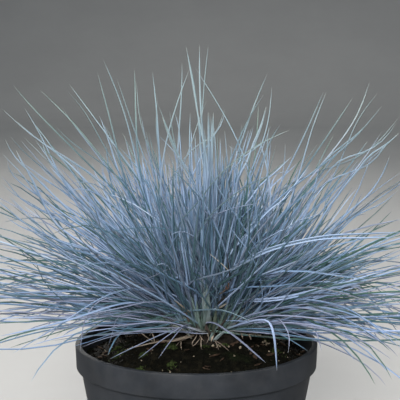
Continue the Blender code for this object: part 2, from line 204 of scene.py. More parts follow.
# Leaves in front, read the same way: width in millimetres, tint, and then for each point from
# foot to tip x, y and its millimetres behind the pot's axis, so below 0 is nearer the camera
FRONT_LEAVES = (
    (1.8, 0.65, 228, 329, -24, 246, 323, -44, 258, 320.5, -56, 264.5, 320.3, -61, 269.5, 322.5,
     -64, 272.3, 329, -66, 275.5, 350, -66, 277, 371, -64),
    (1.1, 0.06, 166, 314, -20, 182, 311.5, -30, 200, 310, -36, 214, 309.5, -40, 228, 312, -43, 243,
     318, -45, 262, 327, -48),
    (1.3, 0.4, 200, 319, -26, 214, 323, -40, 226, 330, -50, 237, 338, -58, 250, 349, -68, 266, 363,
     -80),
    (1, 0.36, 262, 318, -20, 276, 319, -50, 284, 325, -62, 289, 336, -66, 288, 353, -67),
    (1.1, 0.36, 290, 322, -20, 308, 324, -40, 316, 331.8, -48, 322, 353, -50),
    (1.2, 0.2, 228, 330, -26, 250, 328.5, -34, 271, 329, -40, 306, 330, -50, 345, 331, -58),
    (1.5, 0.64, 219, 277, -26, 232, 268, -42, 248.5, 259, -50, 268, 249, -56, 289, 243, -61, 326,
     236, -68, 360, 234, -74, 403, 232, -80),
    (1.7, 0.63, 222, 291, -18, 237, 285, -28, 252, 280, -34, 264, 277.5, -38, 276, 275.5, -42, 296,
     263, -48, 322, 244, -54),
    (1.2, 0.52, 240, 286, -22, 252, 283, -30, 268, 280, -36, 290, 276, -42),
    (1.7, 0.63, 224, 304, -18, 238, 301, -28, 261, 299, -36, 289, 296, -44, 315, 290, -50, 340,
     284, -56, 379, 272, -62),
    (1, 0.67, 248, 318, -36, 258, 309, -42, 264, 301, -45, 269, 293, -47, 271.5, 286.5, -48, 273.5,
     284.5, -48, 276, 287, -48),
    (1.4, 0.64, 206, 329, -30, 187, 316, -44, 170, 305, -54, 150, 293, -64, 134, 284.6, -70, 89,
     263, -82, 62, 256, -88),
    (1.1, 0.48, 180, 300, -20, 150, 291, -40, 125, 290, -54, 104, 297, -64, 70, 318, -80, 30, 343,
     -98, 10, 355, -106),
    (1.3, 0.49, 182, 304, -20, 130, 303, -54, 76, 318, -80, 30, 330, -96, -4, 337, -106),
    (1.1, 0.44, 187.5, 282, -14, 166, 265.5, -24, 143, 251.4, -34, 120, 241, -42),
    (1, 0.16, 192, 326, -20, 194, 284, -26, 188, 246, -36, 172, 231, -46, 150.5, 227.4, -52, 127.6,
     229, -58, 100.8, 233, -64),
    (1, 0.07, 60, 300, -60, 44.6, 282, -70, 34.4, 256.5, -80),
    (0.8, 0.31, 196, 325, -20, 176, 329, -44, 160, 335, -52, 145, 342, -60, 130, 349, -66, 110,
     359, -76),
    (0.7, 0.33, 196, 325, -20, 178, 329, -44, 166, 337, -50, 152, 348, -58, 138, 359, -66),
    (0.7, 0.28, 196, 325, -20, 181, 329, -42, 174, 337, -48, 165, 349, -56, 158, 359, -62),
    (0.9, 0.33, 215, 333, -34, 196, 329, -38, 176, 324, -44, 152, 321.5, -50, 130, 318, -56, 100,
     316, -64, 70, 320, -72, 30, 332, -84),
    (0.8, 0.28, 212, 333, -35, 190, 331, -40, 160, 332, -48, 130, 333.5, -56, 90, 336, -66, 50,
     341, -78),
    (0.8, 0.24, 210, 332, -34, 180, 328, -42, 150, 329, -50, 127, 333, -56, 100, 340, -64, 80, 348,
     -70),
    (0.9, 0.3, 200, 328, -30, 170, 318, -44, 140, 312, -54, 110, 312, -62, 76, 322, -74, 40, 334,
     -88),
    (1.1, 0.36, 234, 327, -30, 262, 322.5, -42, 290, 323, -50, 320, 327, -58, 350, 338, -68, 376,
     352, -78),
    (1, 0.32, 240, 322, -26, 262, 316.5, -40, 290, 316, -50, 330, 321, -60, 360, 331, -70, 392,
     348, -82),
    (0.9, 0.26, 238, 331, -30, 262, 333, -42, 290, 336, -48, 330, 341, -56, 352, 345, -62),
    (1.2, 0.5, 246, 316, -24, 280, 308, -42, 312, 309, -52, 340, 317, -60, 366, 331, -70, 385, 345,
     -80),
    (1.1, 0.42, 246, 312, -22, 280, 300, -40, 318, 301, -52, 345, 308, -60, 370, 323, -70, 398,
     346, -82),
    (0.9, 0.34, 214, 334, -33, 200, 331.5, -36, 185, 327, -42, 165, 322, -50, 127, 325, -62, 76,
     327, -80, 40, 334, -92),
    (0.9, 0.32, 222, 333, -31, 200, 333.5, -34, 180, 332, -40, 150, 331, -50, 104, 334, -66),
    (1.5, 0.68, 191.5, 308, -34, 190, 297, -38, 187, 288, -40, 184, 282.5, -41, 180, 279, -42, 168,
     274, -45, 150, 263, -51, 124, 249, -60),
    (1.3, 0.6, 190, 304, -34, 185, 299.5, -38, 175, 296, -42, 160, 287, -47, 140, 276, -54),
    (1.7, 0.56, 192, 326, -24, 184, 300, -34, 177, 262, -42, 169, 235, -46, 160, 208, -49),
    (1.6, 0.64, 196, 326, -24, 190, 304, -33, 186, 272, -40, 181, 242, -44, 176, 214, -47),
    (1.8, 0.52, 200, 326, -24, 196, 308, -32, 194, 280, -39, 190, 252, -43, 186, 224, -46),
    (1.6, 0.6, 208, 326, -24, 204, 280, -35, 203, 250, -41, 201, 222, -45),
    (1.7, 0.5, 214, 326, -24, 213, 300, -33, 213.5, 270, -39, 215, 240, -44),
    (1.6, 0.62, 218, 326, -24, 220, 300, -33, 224, 270, -40, 229, 240, -45, 235, 214, -48),
    (1.8, 0.5, 222, 326, -24, 227, 305, -33, 236, 275, -41, 244, 250, -46, 252, 226, -50),
    (1.6, 0.56, 226, 326, -24, 233, 310, -33, 247, 285, -42, 258, 262, -48, 271, 240, -53),
    (1.8, 0.6, 186, 326, -24, 175, 306, -34, 162, 280, -44, 150, 256, -50, 137, 234, -55),
    (1.6, 0.54, 184, 326, -24, 169, 306, -35, 150, 281, -46, 133, 262, -53, 116, 244, -58),
    (1.2, 0.37, 228, 322, -28, 250, 315.5, -38, 268, 311, -46, 285, 307, -54, 310, 304, -62),
    (0.8, 0.06, 207, 305, -30, 200, 297, -36, 193, 287, -40),
    (1, 0.34, 250, 326, -30, 290, 324, -48, 330, 331, -64, 366, 343, -76, 395, 362, -84),
    (1.3, 0.46, 255, 318, -24, 300, 308, -44, 345, 312, -62, 380, 328, -74, 402, 344, -82),
    (0.9, 0.02, 194, 326, -22, 193, 290, -34, 195, 255, -48, 199, 233, -56, 211, 215, -62, 225,
     202, -66, 246, 187, -70, 262, 179, -72, 272, 174, -73),
    (0.9, 0.04, 182, 326, -20, 177, 280, -32, 177, 240, -42, 181, 221, -48, 193, 208, -52, 215,
     180, -58, 235, 161, -62, 250, 150, -64, 271, 138, -66, 290, 130, -67),
    (1.1, 0.52, 226, 326, -20, 232, 290, -30, 228, 262, -40, 220, 237, -48, 209, 213, -54, 197,
     190, -60, 180, 158, -66, 172, 140, -69, 164, 120, -72, 158, 104, -74),
    (0.9, 0.41, 244, 330, -20, 266, 290, -34, 264, 262, -44, 254, 244, -52, 240, 222, -58, 226,
     201, -64, 212, 177, -68, 204, 162, -70),
    (0.9, 0.46, 240, 330, -22, 262, 300, -40, 256, 266, -52, 248, 251, -58, 238, 238, -62, 229,
     226, -64),
    (0.9, 0.18, 216, 326, -20, 222, 280, -32, 214, 225, -46, 200, 198, -54, 188, 185, -58, 175,
     171, -62, 161, 162, -64),
    (0.9, 0.22, 206, 326, -20, 204, 260, -36, 197, 200, -50, 186, 182, -54, 177, 175, -56, 167,
     171, -58),
    (1, 0.03, 222, 326, -22, 224, 270, -36, 228, 236, -44, 232, 216, -48, 237, 200, -52, 241, 188,
     -54),
    (1.1, 0.55, 252, 326, -24, 266, 290, -36, 264, 262, -44, 258, 236, -50, 256, 212, -54, 252,
     190, -58, 246, 170, -61, 241, 160, -62),
    (1.4, 0.6, 210, 326, -22, 213, 290, -26, 211, 250, -32, 209, 205, -38, 212, 160, -44, 213.5,
     112, -48),
    (1.5, 0.66, 204, 326, -20, 207, 290, -26, 208, 250, -30, 208, 200, -36, 206.5, 160, -40, 203,
     140, -42, 198.5, 118, -44, 194, 92, -46, 186, 46, -50),
    (1.2, 0.55, 176, 326, -24, 150, 262, -40, 128, 216, -54, 104, 190, -64, 84, 182, -70, 66, 185,
     -74),
    (1.2, 0.49, 180, 326, -24, 156, 270, -40, 130, 222, -54, 100, 196, -64, 82, 189, -70, 60, 192,
     -74),
    (1.2, 0.42, 232, 322, -20, 240, 262, -30, 250, 232, -36, 269, 209, -40, 294, 186, -44, 317,
     169, -46, 333, 153, -48, 350, 140, -50, 369, 122, -52),
    (1.3, 0.55, 240, 320, -16, 262, 240, -26, 293, 204, -34, 317, 185, -38, 341, 160, -42, 364,
     152, -44, 383, 140, -46, 397, 122, -48),
    (1.3, 0.6, 250, 318, -14, 290, 238, -24, 329, 181, -34, 354, 171, -38, 372, 162, -40, 386, 145,
     -42, 399, 133, -44),
    (1.2, 0.5, 246, 318, -14, 280, 250, -24, 307, 215, -32, 331, 194, -36, 346, 176, -38, 360, 158,
     -40),
    (1.2, 0.55, 250, 318, -14, 300, 262, -26, 331, 231, -34, 350, 211, -38, 366, 197, -40, 383,
     173, -42, 390, 155, -44),
    (1.3, 0.5, 250, 320, -14, 310, 258, -28, 345, 226, -36, 359, 214, -38, 379, 205, -40, 399, 189,
     -42),
    (1.2, 0.55, 190, 322, -14, 150, 258, -26, 112, 211, -34, 100, 196, -36, 87, 182, -38, 69, 164,
     -40, 51, 149, -42, 36, 138, -44, 15.5, 120, -46),
    (1.2, 0.5, 188, 322, -14, 148, 262, -26, 107, 219, -34, 91, 200, -36, 79, 183, -38, 69, 168,
     -40, 54, 150, -42, 41, 132, -44, 31, 120, -45),
    (1.3, 0.62, 184, 322, -14, 120, 260, -26, 82, 230, -32, 45, 207, -38, 36, 189, -40, 26, 169,
     -42, 16, 150, -44),
    (1.2, 0.46, 186, 322, -14, 130, 258, -26, 82, 202, -36, 70, 190, -38, 62, 178, -40, 54, 168,
     -41, 47, 156, -42, 43, 145, -43, 40, 135, -44),
    (1.6, 0.64, 186, 324, -16, 130, 272, -30, 82, 247, -38, 64, 242, -40, 47, 236, -42, 16, 224,
     -45, 3, 214, -46),
    (0.9, 0.3, 262, 322, -20, 268, 240, -34, 255, 177, -44, 250, 167, -46, 244, 160, -48, 237, 152,
     -49, 226, 144, -50),
    (0.9, 0.3, 190, 325, -18, 168, 270, -30, 160, 222, -38, 168, 185, -44, 180, 165, -46, 193, 149,
     -48, 203, 142, -49, 213, 136, -50, 217, 130, -50.5, 224.6, 109, -51),
    (1.5, 0.68, 222, 322, -16, 230, 240, -26, 236, 191, -32, 240, 174, -34, 247, 162, -35, 252,
     147, -36, 258, 133, -37, 262, 122, -38, 266, 106, -39),
    (1.5, 0.66, 214, 322, -18, 228, 240, -30, 243, 207, -36, 252, 197, -38, 258, 188, -39, 270,
     177, -41, 292, 156, -43),
    (1.5, 0.64, 212, 324, -20, 225, 270, -32, 237, 245, -38, 247, 236, -40, 258, 223, -42, 270,
     210, -44, 290, 195, -46),
    (1.5, 0.66, 206, 326, -18, 208, 260, -26, 207, 200, -32, 204, 150, -36, 200.5, 105, -39, 199.5,
     70, -41, 199.5, 44, -42),
    (0.9, 0.35, 186, 326, -18, 178, 240, -30, 180, 185, -38, 186, 158, -41, 190, 147, -42, 199,
     120, -43, 207, 100, -44),
    (0.9, 0.4, 236, 326, -20, 232, 262, -32, 214, 222, -40, 200, 205, -43, 190, 185, -45, 178, 158,
     -47, 168, 135, -48, 162, 116, -49),
    (1, 0.5, 238, 322, -18, 256, 250, -28, 265, 197, -34, 267.5, 175, -36, 267, 150, -37, 269, 125,
     -38),
    (1.5, 0.66, 212, 326, -20, 214, 260, -26, 215, 200, -30, 216, 150, -33),
    (1.6, 0.7, 202, 326, -18, 204, 250, -26, 204, 190, -30, 206, 135, -34),
    (1.4, 0.62, 208, 326, -18, 210, 250, -26, 210.5, 190, -30, 209, 125, -34),
    (1.5, 0.66, 198, 326, -18, 199, 250, -26, 200, 200, -30, 200.5, 150, -34),
    (1.4, 0.6, 205, 326, -18, 207, 240, -28, 206.5, 180, -32, 204.5, 128, -36),
    (1.6, 0.64, 212, 326, -20, 213, 260, -26, 212.5, 200, -32, 212, 150, -36, 211, 116, -39),
    (1.6, 0.58, 215, 326, -20, 216, 260, -26, 216.5, 200, -31, 216, 160, -34, 214, 126, -37),
    (1.6, 0.66, 210, 326, -20, 211, 260, -26, 209.5, 200, -31, 208.5, 150, -35, 208, 112, -38),
    (1.4, 0.58, 222, 306, -18, 240, 303, -28, 263, 301.5, -36, 290, 298, -44, 316, 292.5, -50, 338,
     287, -56, 372, 279, -62),
    (1.4, 0.6, 221, 278, -26, 233, 270.5, -42, 249, 261, -50, 269, 251.5, -56, 290, 245.5, -61,
     326, 239, -68, 362, 238, -74, 398, 237, -80),
    (1.3, 0.56, 224, 293, -18, 239, 287, -28, 254, 282.5, -34, 268, 279.5, -38, 284, 273, -42, 302,
     261, -48, 330, 240, -54),
    (1.2, 0.55, 186, 312, -24, 150, 294, -40, 128, 288.5, -50, 88, 287, -62, 46, 284, -72, 10, 286,
     -80),
    (1.2, 0.58, 176, 300, -24, 138, 290, -40, 92, 281, -56, 58, 270, -66, 10, 259, -78),
    (1.1, 0.52, 170, 300, -20, 120, 279, -36, 84, 263, -48, 48, 241, -60, 26, 228, -66),
    (1.4, 0.62, 186, 322, -10, 130, 262, -22, 84, 222, -32, 50, 192, -38, 33, 175, -41, 22, 165,
     -43, 11, 151, -45, 5, 139, -47),
    (1.4, 0.66, 184, 322, -10, 120, 268, -24, 78, 240, -34, 58, 226, -38, 46, 209, -41, 40, 196,
     -43, 33, 181, -45, 27, 170, -46, 21, 161, -47, 16, 150, -48),
    (1.1, 0.55, 184, 322, -10, 122, 262, -24, 75, 227, -34, 45, 203, -40, 26, 180, -44, 15.5, 167,
     -46, 7, 159, -47, 2, 153, -48),
    (1.2, 0.58, 184, 322, -10, 125, 258, -24, 78, 224, -34, 52, 206, -38, 30, 190, -42, 12, 174,
     -45, 8, 166, -46, 7, 157, -47),
    (1.1, 0.5, 184, 322, -10, 120, 262, -24, 80, 234, -32, 46, 213, -38, 30, 205, -41, 17, 195,
     -43, 7, 182, -45, 0, 175, -46),
    (1.1, 0.6, 184, 322, -10, 126, 256, -24, 90, 228, -30, 58, 214, -36, 44, 211, -38, 32, 204,
     -40, 20, 198, -42, 10, 191, -44, 0, 182, -45),
    (1, 0.46, 184, 322, -10, 124, 270, -24, 80, 251, -34, 49, 238, -40, 39, 227, -42, 28, 218, -44,
     18, 207, -46, 7, 195, -48),
    (1.1, 0.52, 184, 322, -10, 126, 266, -24, 86, 250, -34, 56, 240, -40, 39, 231, -43, 24, 223,
     -45, 11, 212, -47, 0, 200, -49),
    (1.4, 0.56, 246, 320, -10, 290, 258, -24, 318, 225.6, -34, 328, 209, -37, 338, 195.5, -39, 348,
     182, -41, 359, 169, -43, 368, 157, -45, 386.7, 144, -48, 400, 132, -50),
    (0.9, 0.36, 170, 306, -40, 130, 299, -56, 100, 301, -66, 91, 309, -70, 85, 320, -72, 82, 335,
     -72, 80, 352, -71),
    (0.8, 0.3, 140, 314, -50, 124, 314, -58, 116, 320, -61, 112.5, 332, -62, 108, 346, -61),
    (1, 0.2, 248, 331, -36, 268, 332, -46, 281, 335, -54, 294, 342, -60, 308, 351, -64),
    (1.1, 0.22, 236, 331, -30, 277, 333, -44, 310, 338.5, -54, 345, 341.5, -62),
)

# Sheaths and dead strands at the foot, read the same way: width, tint, share of green, share
# of rust, and then the points
FOOT_STRANDS = (
    (3.6, 0.64, 0, 0, 193, 335, -31, 182, 338.5, -37, 166, 342, -43),
    (1.2, 0.62, 0, 0, 172, 340, -41, 160, 341.5, -46, 144, 345, -54, 124, 350, -64),
    (0.7, 0.6, 0, 0, 141, 333, -50, 147, 337.5, -53, 154, 342, -56),
    (0.7, 0.55, 0, 0, 152, 333, -50, 153.5, 337, -52, 154.5, 342, -54),
    (3, 0.7, 0.6, 0, 191, 338, -31, 187, 333, -34, 183, 329, -36),
    (1.6, 0.78, 0, 0, 190, 312, -42, 182, 306, -50, 173, 299, -56),
    (2.8, 0.74, 0.2, 0, 214, 310, -40, 221, 307, -46, 228.5, 302, -52),
    (1.6, 0.62, 0, 0, 214, 332, -31, 212.5, 337, -33, 211, 342, -34),
    (0.8, 0.6, 0.3, 0, 232, 333, -28, 250, 334.5, -34, 270, 337.5, -40, 290, 341, -46),
    (0.9, 0.46, 0, 0, 241, 333, -33, 242, 336, -35, 243, 339, -36),
    (0.9, 0.48, 0, 0, 248, 334, -34, 250, 337, -36, 251, 340, -37),
    (0.8, 0.36, 0, 0, 214, 340, -33, 222, 345, -40, 230, 352, -48),
    (0.9, 0.98, 0, 0, 229, 271, -66, 219, 261.5, -74, 206, 251, -80),
    (1.1, 0, 0, 0, 231, 281, -58, 229, 270, -66, 228, 262, -70, 225, 248, -76),
    (2.3, 0.25, 0, 0.6, 226.5, 289, -57, 228, 285.5, -59, 228.5, 282.5, -61),
    (2.2, 0.62, 0, 0, 220, 294, -50, 223, 291.5, -54, 227, 289, -58),
    (3.2, 0, 0, 0, 217.5, 304, -46, 221.5, 300, -50, 226, 295.5, -54),
    (1.2, 0.4, 0, 0.3, 274, 310, -64, 271, 311.6, -63, 268, 312.6, -61),
    (1.6, 0.3, 0, 0, 189, 322, -34, 187, 316, -38, 186, 311, -41),
    (1.5, 0.25, 0, 0, 206, 330, -32, 205, 323, -36, 204, 318, -39),
    (2.6, 0.9, 1, 0, 214, 341, -31, 219, 336, -35, 226, 330, -40),
    (2, 0.72, 1, 0, 210, 340, -31, 213, 333, -35, 218, 326, -40),
    (2, 0.4, 1, 0, 202, 335, -29, 202, 325, -34, 201, 314, -40),
    (1.8, 0.1, 0.9, 0, 208, 336, -29, 210, 326, -34, 212, 316, -40),
    (1.9, 0.2, 0.8, 0, 214, 335, -29, 216, 324, -34, 217, 313, -40),
    (1.7, 0.25, 1, 0, 196, 334, -29, 193, 326, -34, 190, 318, -39),
    (1.5, 0.45, 1, 0, 222, 333, -27, 226, 326, -33, 231, 319, -38),
    (1.6, 0.3, 1, 0, 205, 332, -28, 204, 320, -34, 203, 308, -40),
    (1.5, 0.36, 1, 0, 218, 333, -28, 222, 323, -34, 226, 313, -40),
    (1.5, 0.15, 0.7, 0, 190, 333, -29, 185, 327, -34, 179, 321, -39),
    (1.6, 0.08, 0, 0, 199, 334, -30, 197, 328, -34, 195, 321, -38),
    (1.6, 0.12, 0, 0, 210, 334, -30, 207, 328, -34, 206, 322, -38),
    (2.4, 0.78, 0.7, 0, 186, 332, -30, 172, 325, -38, 158, 320, -44),
    (3.6, 0.84, 1, 0, 209, 322, -37, 208, 308, -45, 207, 294, -51, 206, 279, -56),
    (3.4, 0.9, 1, 0, 206, 322, -37, 205, 308, -45, 203.5, 294, -51, 202.5, 278, -56),
    (2.4, 0.66, 1, 0, 204, 326, -36, 206, 308, -46, 208, 290, -54),
    (2.6, 0.2, 0.75, 0, 213, 332, -36, 215, 320, -44, 216.5, 306, -50),
    (1.8, 0.58, 1, 0, 198, 326, -36, 194, 308, -46, 189.5, 292, -52),
    (1.8, 0.46, 1, 0, 219, 328, -36, 223.5, 315, -44, 229, 303, -52),
    (2, 0.52, 1, 0, 201, 330, -36, 198, 316, -44, 196.5, 300, -50),
    (1.6, 0.06, 0, 0, 219, 329, -38, 223, 323, -42, 228, 317, -46),
)

# Pale roots at the front of the crown: points, read the same way
ROOTS = (
    (197, 332, -30, 195.5, 338, -33, 192, 344, -35, 192.6, 345.6, -36, 198, 341, -36, 203, 336,
     -33),
    (199, 332, -30, 201, 337.5, -34, 204.5, 341.5, -36),
    (201.5, 337, -32, 201, 344, -36, 201.4, 350, -38),
    (181, 341, -34, 181, 346, -37, 181.5, 350, -39),
    (207, 333, -30, 208.5, 339, -34, 206, 344, -36),
)

# Pale grit and moss seen on the compost: x and y in the photograph
GRIT_SEEN = (
    (208, 344), (211, 345), (213, 346), (216, 344), (218, 346), (220, 347), (217, 348), (263, 343),
    (265, 342), (267, 344), (266, 346), (269, 344), (270, 346), (264, 346), (281, 343), (258, 347),
    (246, 346), (240, 348), (229, 347),
)
MOSS_SEEN = ((170, 346), (173, 348), (206, 346), (222, 346))

SEED = 11
rng = np.random.default_rng(SEED)


# Small tools for modelling


def deselect():
    if bpy.context.object and bpy.context.object.mode != "OBJECT":
        bpy.ops.object.mode_set(mode="OBJECT")
    bpy.ops.object.select_all(action="DESELECT")


def select_piece(piece):
    """Selects this piece alone."""
    deselect()
    piece.select_set(True)
    bpy.context.view_layer.objects.active = piece


def primitive(kind, name, **how):
    """Adds one primitive, named, with nothing else selected."""
    deselect()
    getattr(bpy.ops.mesh, f"primitive_{kind}_add")(**how)
    piece = bpy.context.object
    piece.name = name
    piece.data.name = name
    return piece


def mesh_piece(name, points, faces):
    """A piece made from points and faces."""
    mesh = bpy.data.meshes.new(name)
    mesh.from_pydata(points, [], faces)
    mesh.update()
    piece = bpy.data.objects.new(name, mesh)
    bpy.context.scene.collection.objects.link(piece)
    return piece


def points_of(mesh):
    return np.array([vert.co for vert in mesh.vertices])


def faces_of(mesh):
    return [list(face.vertices) for face in mesh.polygons]


def settle(piece):
    """Moves the piece's place into its mesh, so that its object sits at the origin."""
    select_piece(piece)
    bpy.ops.object.transform_apply(location=True, rotation=True, scale=True)


def edit(piece):
    """Starts to edit the piece, with none of its vertices selected."""
    select_piece(piece)
    bpy.ops.object.mode_set(mode="EDIT")
    bpy.ops.mesh.select_mode(type="VERT")
    bpy.ops.mesh.select_all(action="DESELECT")


def leave_edit():
    bpy.ops.object.mode_set(mode="OBJECT")


def select_all():
    bpy.ops.mesh.select_all(action="SELECT")


def select_points(piece, test):
    """In edit mode, selects the vertices that the test accepts, and what lies between them."""
    bm = bmesh.from_edit_mesh(piece.data)
    for vert in bm.verts:
        vert.select = bool(test(vert.co))
    bm.select_mode = {"VERT"}
    bm.select_flush(True)
    bm.select_flush(False)
    bmesh.update_edit_mesh(piece.data)


def scale_points(x, y, z=1.0, about=(0, 0, 0)):
    bpy.ops.transform.resize(value=(x, y, z), center_override=about)


def cut_level(*heights, **how):
    """In edit mode, cuts the whole piece along a level plane at each height."""
    for height in heights:
        select_all()
        bpy.ops.mesh.bisect(plane_co=(0, 0, height), plane_no=(0, 0, 1), **how)


def extrude_rings(rings, height, radius):
    """In edit mode, extrudes the selected ring, which has this height and radius, through
    others, each given as its height and radius."""
    for next_height, next_radius in rings:
        move = {"value": (0, 0, next_height - height)}
        bpy.ops.mesh.extrude_region_move(TRANSFORM_OT_translate=move)
        scale_points(next_radius / radius, next_radius / radius)
        height, radius = next_height, next_radius


def modify(piece, kind, **values):
    """Adds a modifier with these values and applies it."""
    select_piece(piece)
    modifier = piece.modifiers.new(kind.lower(), kind)
    for key, value in values.items():
        setattr(modifier, key, value)
    bpy.ops.object.modifier_apply(modifier=modifier.name)


def roughen(piece, size, depth, **values):
    """Moves the piece's surface in and out by a cloud pattern of this size."""
    clouds = bpy.data.textures.new("clouds", "CLOUDS")
    clouds.noise_scale = size
    modify(piece, "DISPLACE", texture=clouds, strength=depth, texture_coords="LOCAL", **values)


def finish_piece(piece, slot, material, *nodes, smooth=60):
    """Gives the piece its material and its body, and hides the solids it stands for. Its slot is
    not used.
    """
    piece.data.materials.append(material)
    piece.data.shade_smooth()
    if smooth < 180:
        piece.data.set_sharp_from_angle(angle=math.radians(smooth))
    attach(piece, "root")
    if nodes:
        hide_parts(*nodes)


# Small tools for materials


class Nodes:
    """Adds and joins the nodes of one material or node group."""

    def __init__(self, tree):
        self.tree = tree

    def add(self, kind, values=None, **settings):
        node = self.tree.nodes.new("ShaderNode" + kind)
        for key, value in settings.items():
            setattr(node, key, value)
        for key, value in (values or {}).items():
            self.give(node.inputs[key], value)
        return node

    def give(self, socket, value):
        if isinstance(value, bpy.types.NodeSocket):
            self.tree.links.new(value, socket)
        elif hasattr(value, "__len__") and len(value) == 3 and socket.type == "RGBA":
            socket.default_value = (*value, 1)
        else:
            socket.default_value = value

    def math(self, operation, a, b, clamp=False):
        return self.add("Math", {0: a, 1: b}, operation=operation, use_clamp=clamp).outputs[0]

    def step(self, value, low, high, to_low=0.0, to_high=1.0):
        """Value carried smoothly from between low and high to between to_low and to_high."""
        values = dict(enumerate((value, low, high, to_low, to_high)))
        return self.add("MapRange", values, interpolation_type="SMOOTHSTEP").outputs[0]

    def mix(self, share, first, second, blend="MIX"):
        values = {"Factor": share, 6: first, 7: second}
        return self.add("Mix", values, data_type="RGBA", blend_type=blend).outputs[2]

    def ramp(self, value, *stops):
        """A colour ramp through (place, colour) stops."""
        node = self.add("ValToRGB", {"Fac": value})
        elements = node.color_ramp.elements
        while len(elements) < len(stops):
            elements.new(0.5)
        for element, (place, colour) in zip(elements, stops):
            element.position = place
            element.color = (*colour, 1)
        return node.outputs["Color"]

    def noise(self, vector, scale, detail=3.0, roughness=0.5):
        values = {"Scale": scale, "Detail": detail, "Roughness": roughness, "Vector": vector}
        return self.add("TexNoise", values).outputs["Fac"]

    def bump(self, height, distance, strength):
        values = {"Height": height, "Distance": distance, "Strength": strength}
        return self.add("Bump", values).outputs["Normal"]

    def split(self, vector):
        return self.add("SeparateXYZ", {0: vector}).outputs

    def attribute(self, name):
        """The three values of a strand's own attribute."""
        return self.split(self.add("Attribute", attribute_name=name).outputs["Vector"])

    def place(self):
        """Where the surface is, in metres."""
        return self.add("TexCoord").outputs["Object"]

    def upwards(self):
        """How far the surface looks up, from -1 to 1."""
        return self.split(self.add("NewGeometry").outputs["Normal"])[2]


def new_material(name):
    material = bpy.data.materials.new(name)
    material.use_nodes = True
    material.node_tree.nodes.clear()
    return material, Nodes(material.node_tree)


def close_material(nodes, **values):
    """The Principled shader and the output, from values by their socket names."""
    named = {key.replace("_", " "): value for key, value in values.items()}
    shader = nodes.add("BsdfPrincipled", named)
    nodes.add("OutputMaterial", {"Surface": shader.outputs[0]})


def new_group(name, inputs, outputs):
    """A node group with these inputs and their values, and these outputs, all of them floats.
    Gives its nodes, the sockets that come in and those that go out."""
    tree = bpy.data.node_groups.new(name, "ShaderNodeTree")
    for key, value in inputs.items():
        socket = tree.interface.new_socket(key, in_out="INPUT", socket_type="NodeSocketFloat")
        socket.default_value = value
    for key in outputs:
        tree.interface.new_socket(key, in_out="OUTPUT", socket_type="NodeSocketFloat")
    taken = tree.nodes.new("NodeGroupInput").outputs
    given = tree.nodes.new("NodeGroupOutput").inputs
    return Nodes(tree), taken, given


def use_group(nodes, tree, **values):
    node = nodes.tree.nodes.new("ShaderNodeGroup")
    node.node_tree = tree
    for key, value in values.items():
        nodes.give(node.inputs[key], value)
    return node.outputs


def fibre_group():
    """Fine streaks that run along a strand, different ones for each tint."""
    nodes, taken, given = new_group("leaf_fibre", {"Lines": 9, "Length": 5}, ("Streak", "Along"))
    along, across, tint = nodes.attribute("leaf_place")
    stretched = nodes.add("CombineXYZ", {
        0: nodes.math("MULTIPLY", along, taken["Length"]),
        1: nodes.math("MULTIPLY", across, taken["Lines"]),
        2: nodes.math("MULTIPLY", tint, 37),
    })
    nodes.give(given["Streak"], nodes.noise(stretched.outputs[0], 1.0, detail=2.0))
    nodes.give(given["Along"], along)
    return nodes.tree


def dust_group():
    """Where dust settles: on surfaces that look up, in soft patches."""
    nodes, taken, given = new_group("settled_dust", {"Scale": 60, "Amount": 0.5}, ("Mask",))
    patches = nodes.noise(nodes.place(), taken["Scale"], detail=6.0, roughness=0.65)
    level = nodes.step(nodes.upwards(), -0.2, 0.9, 0.25, 1.0)
    mask = nodes.math("MULTIPLY", nodes.step(patches, 0.42, 0.68), level)
    nodes.give(given["Mask"], nodes.math("MULTIPLY", mask, taken["Amount"], clamp=True))
    return nodes.tree


FIBRE = fibre_group()
DUST = dust_group()


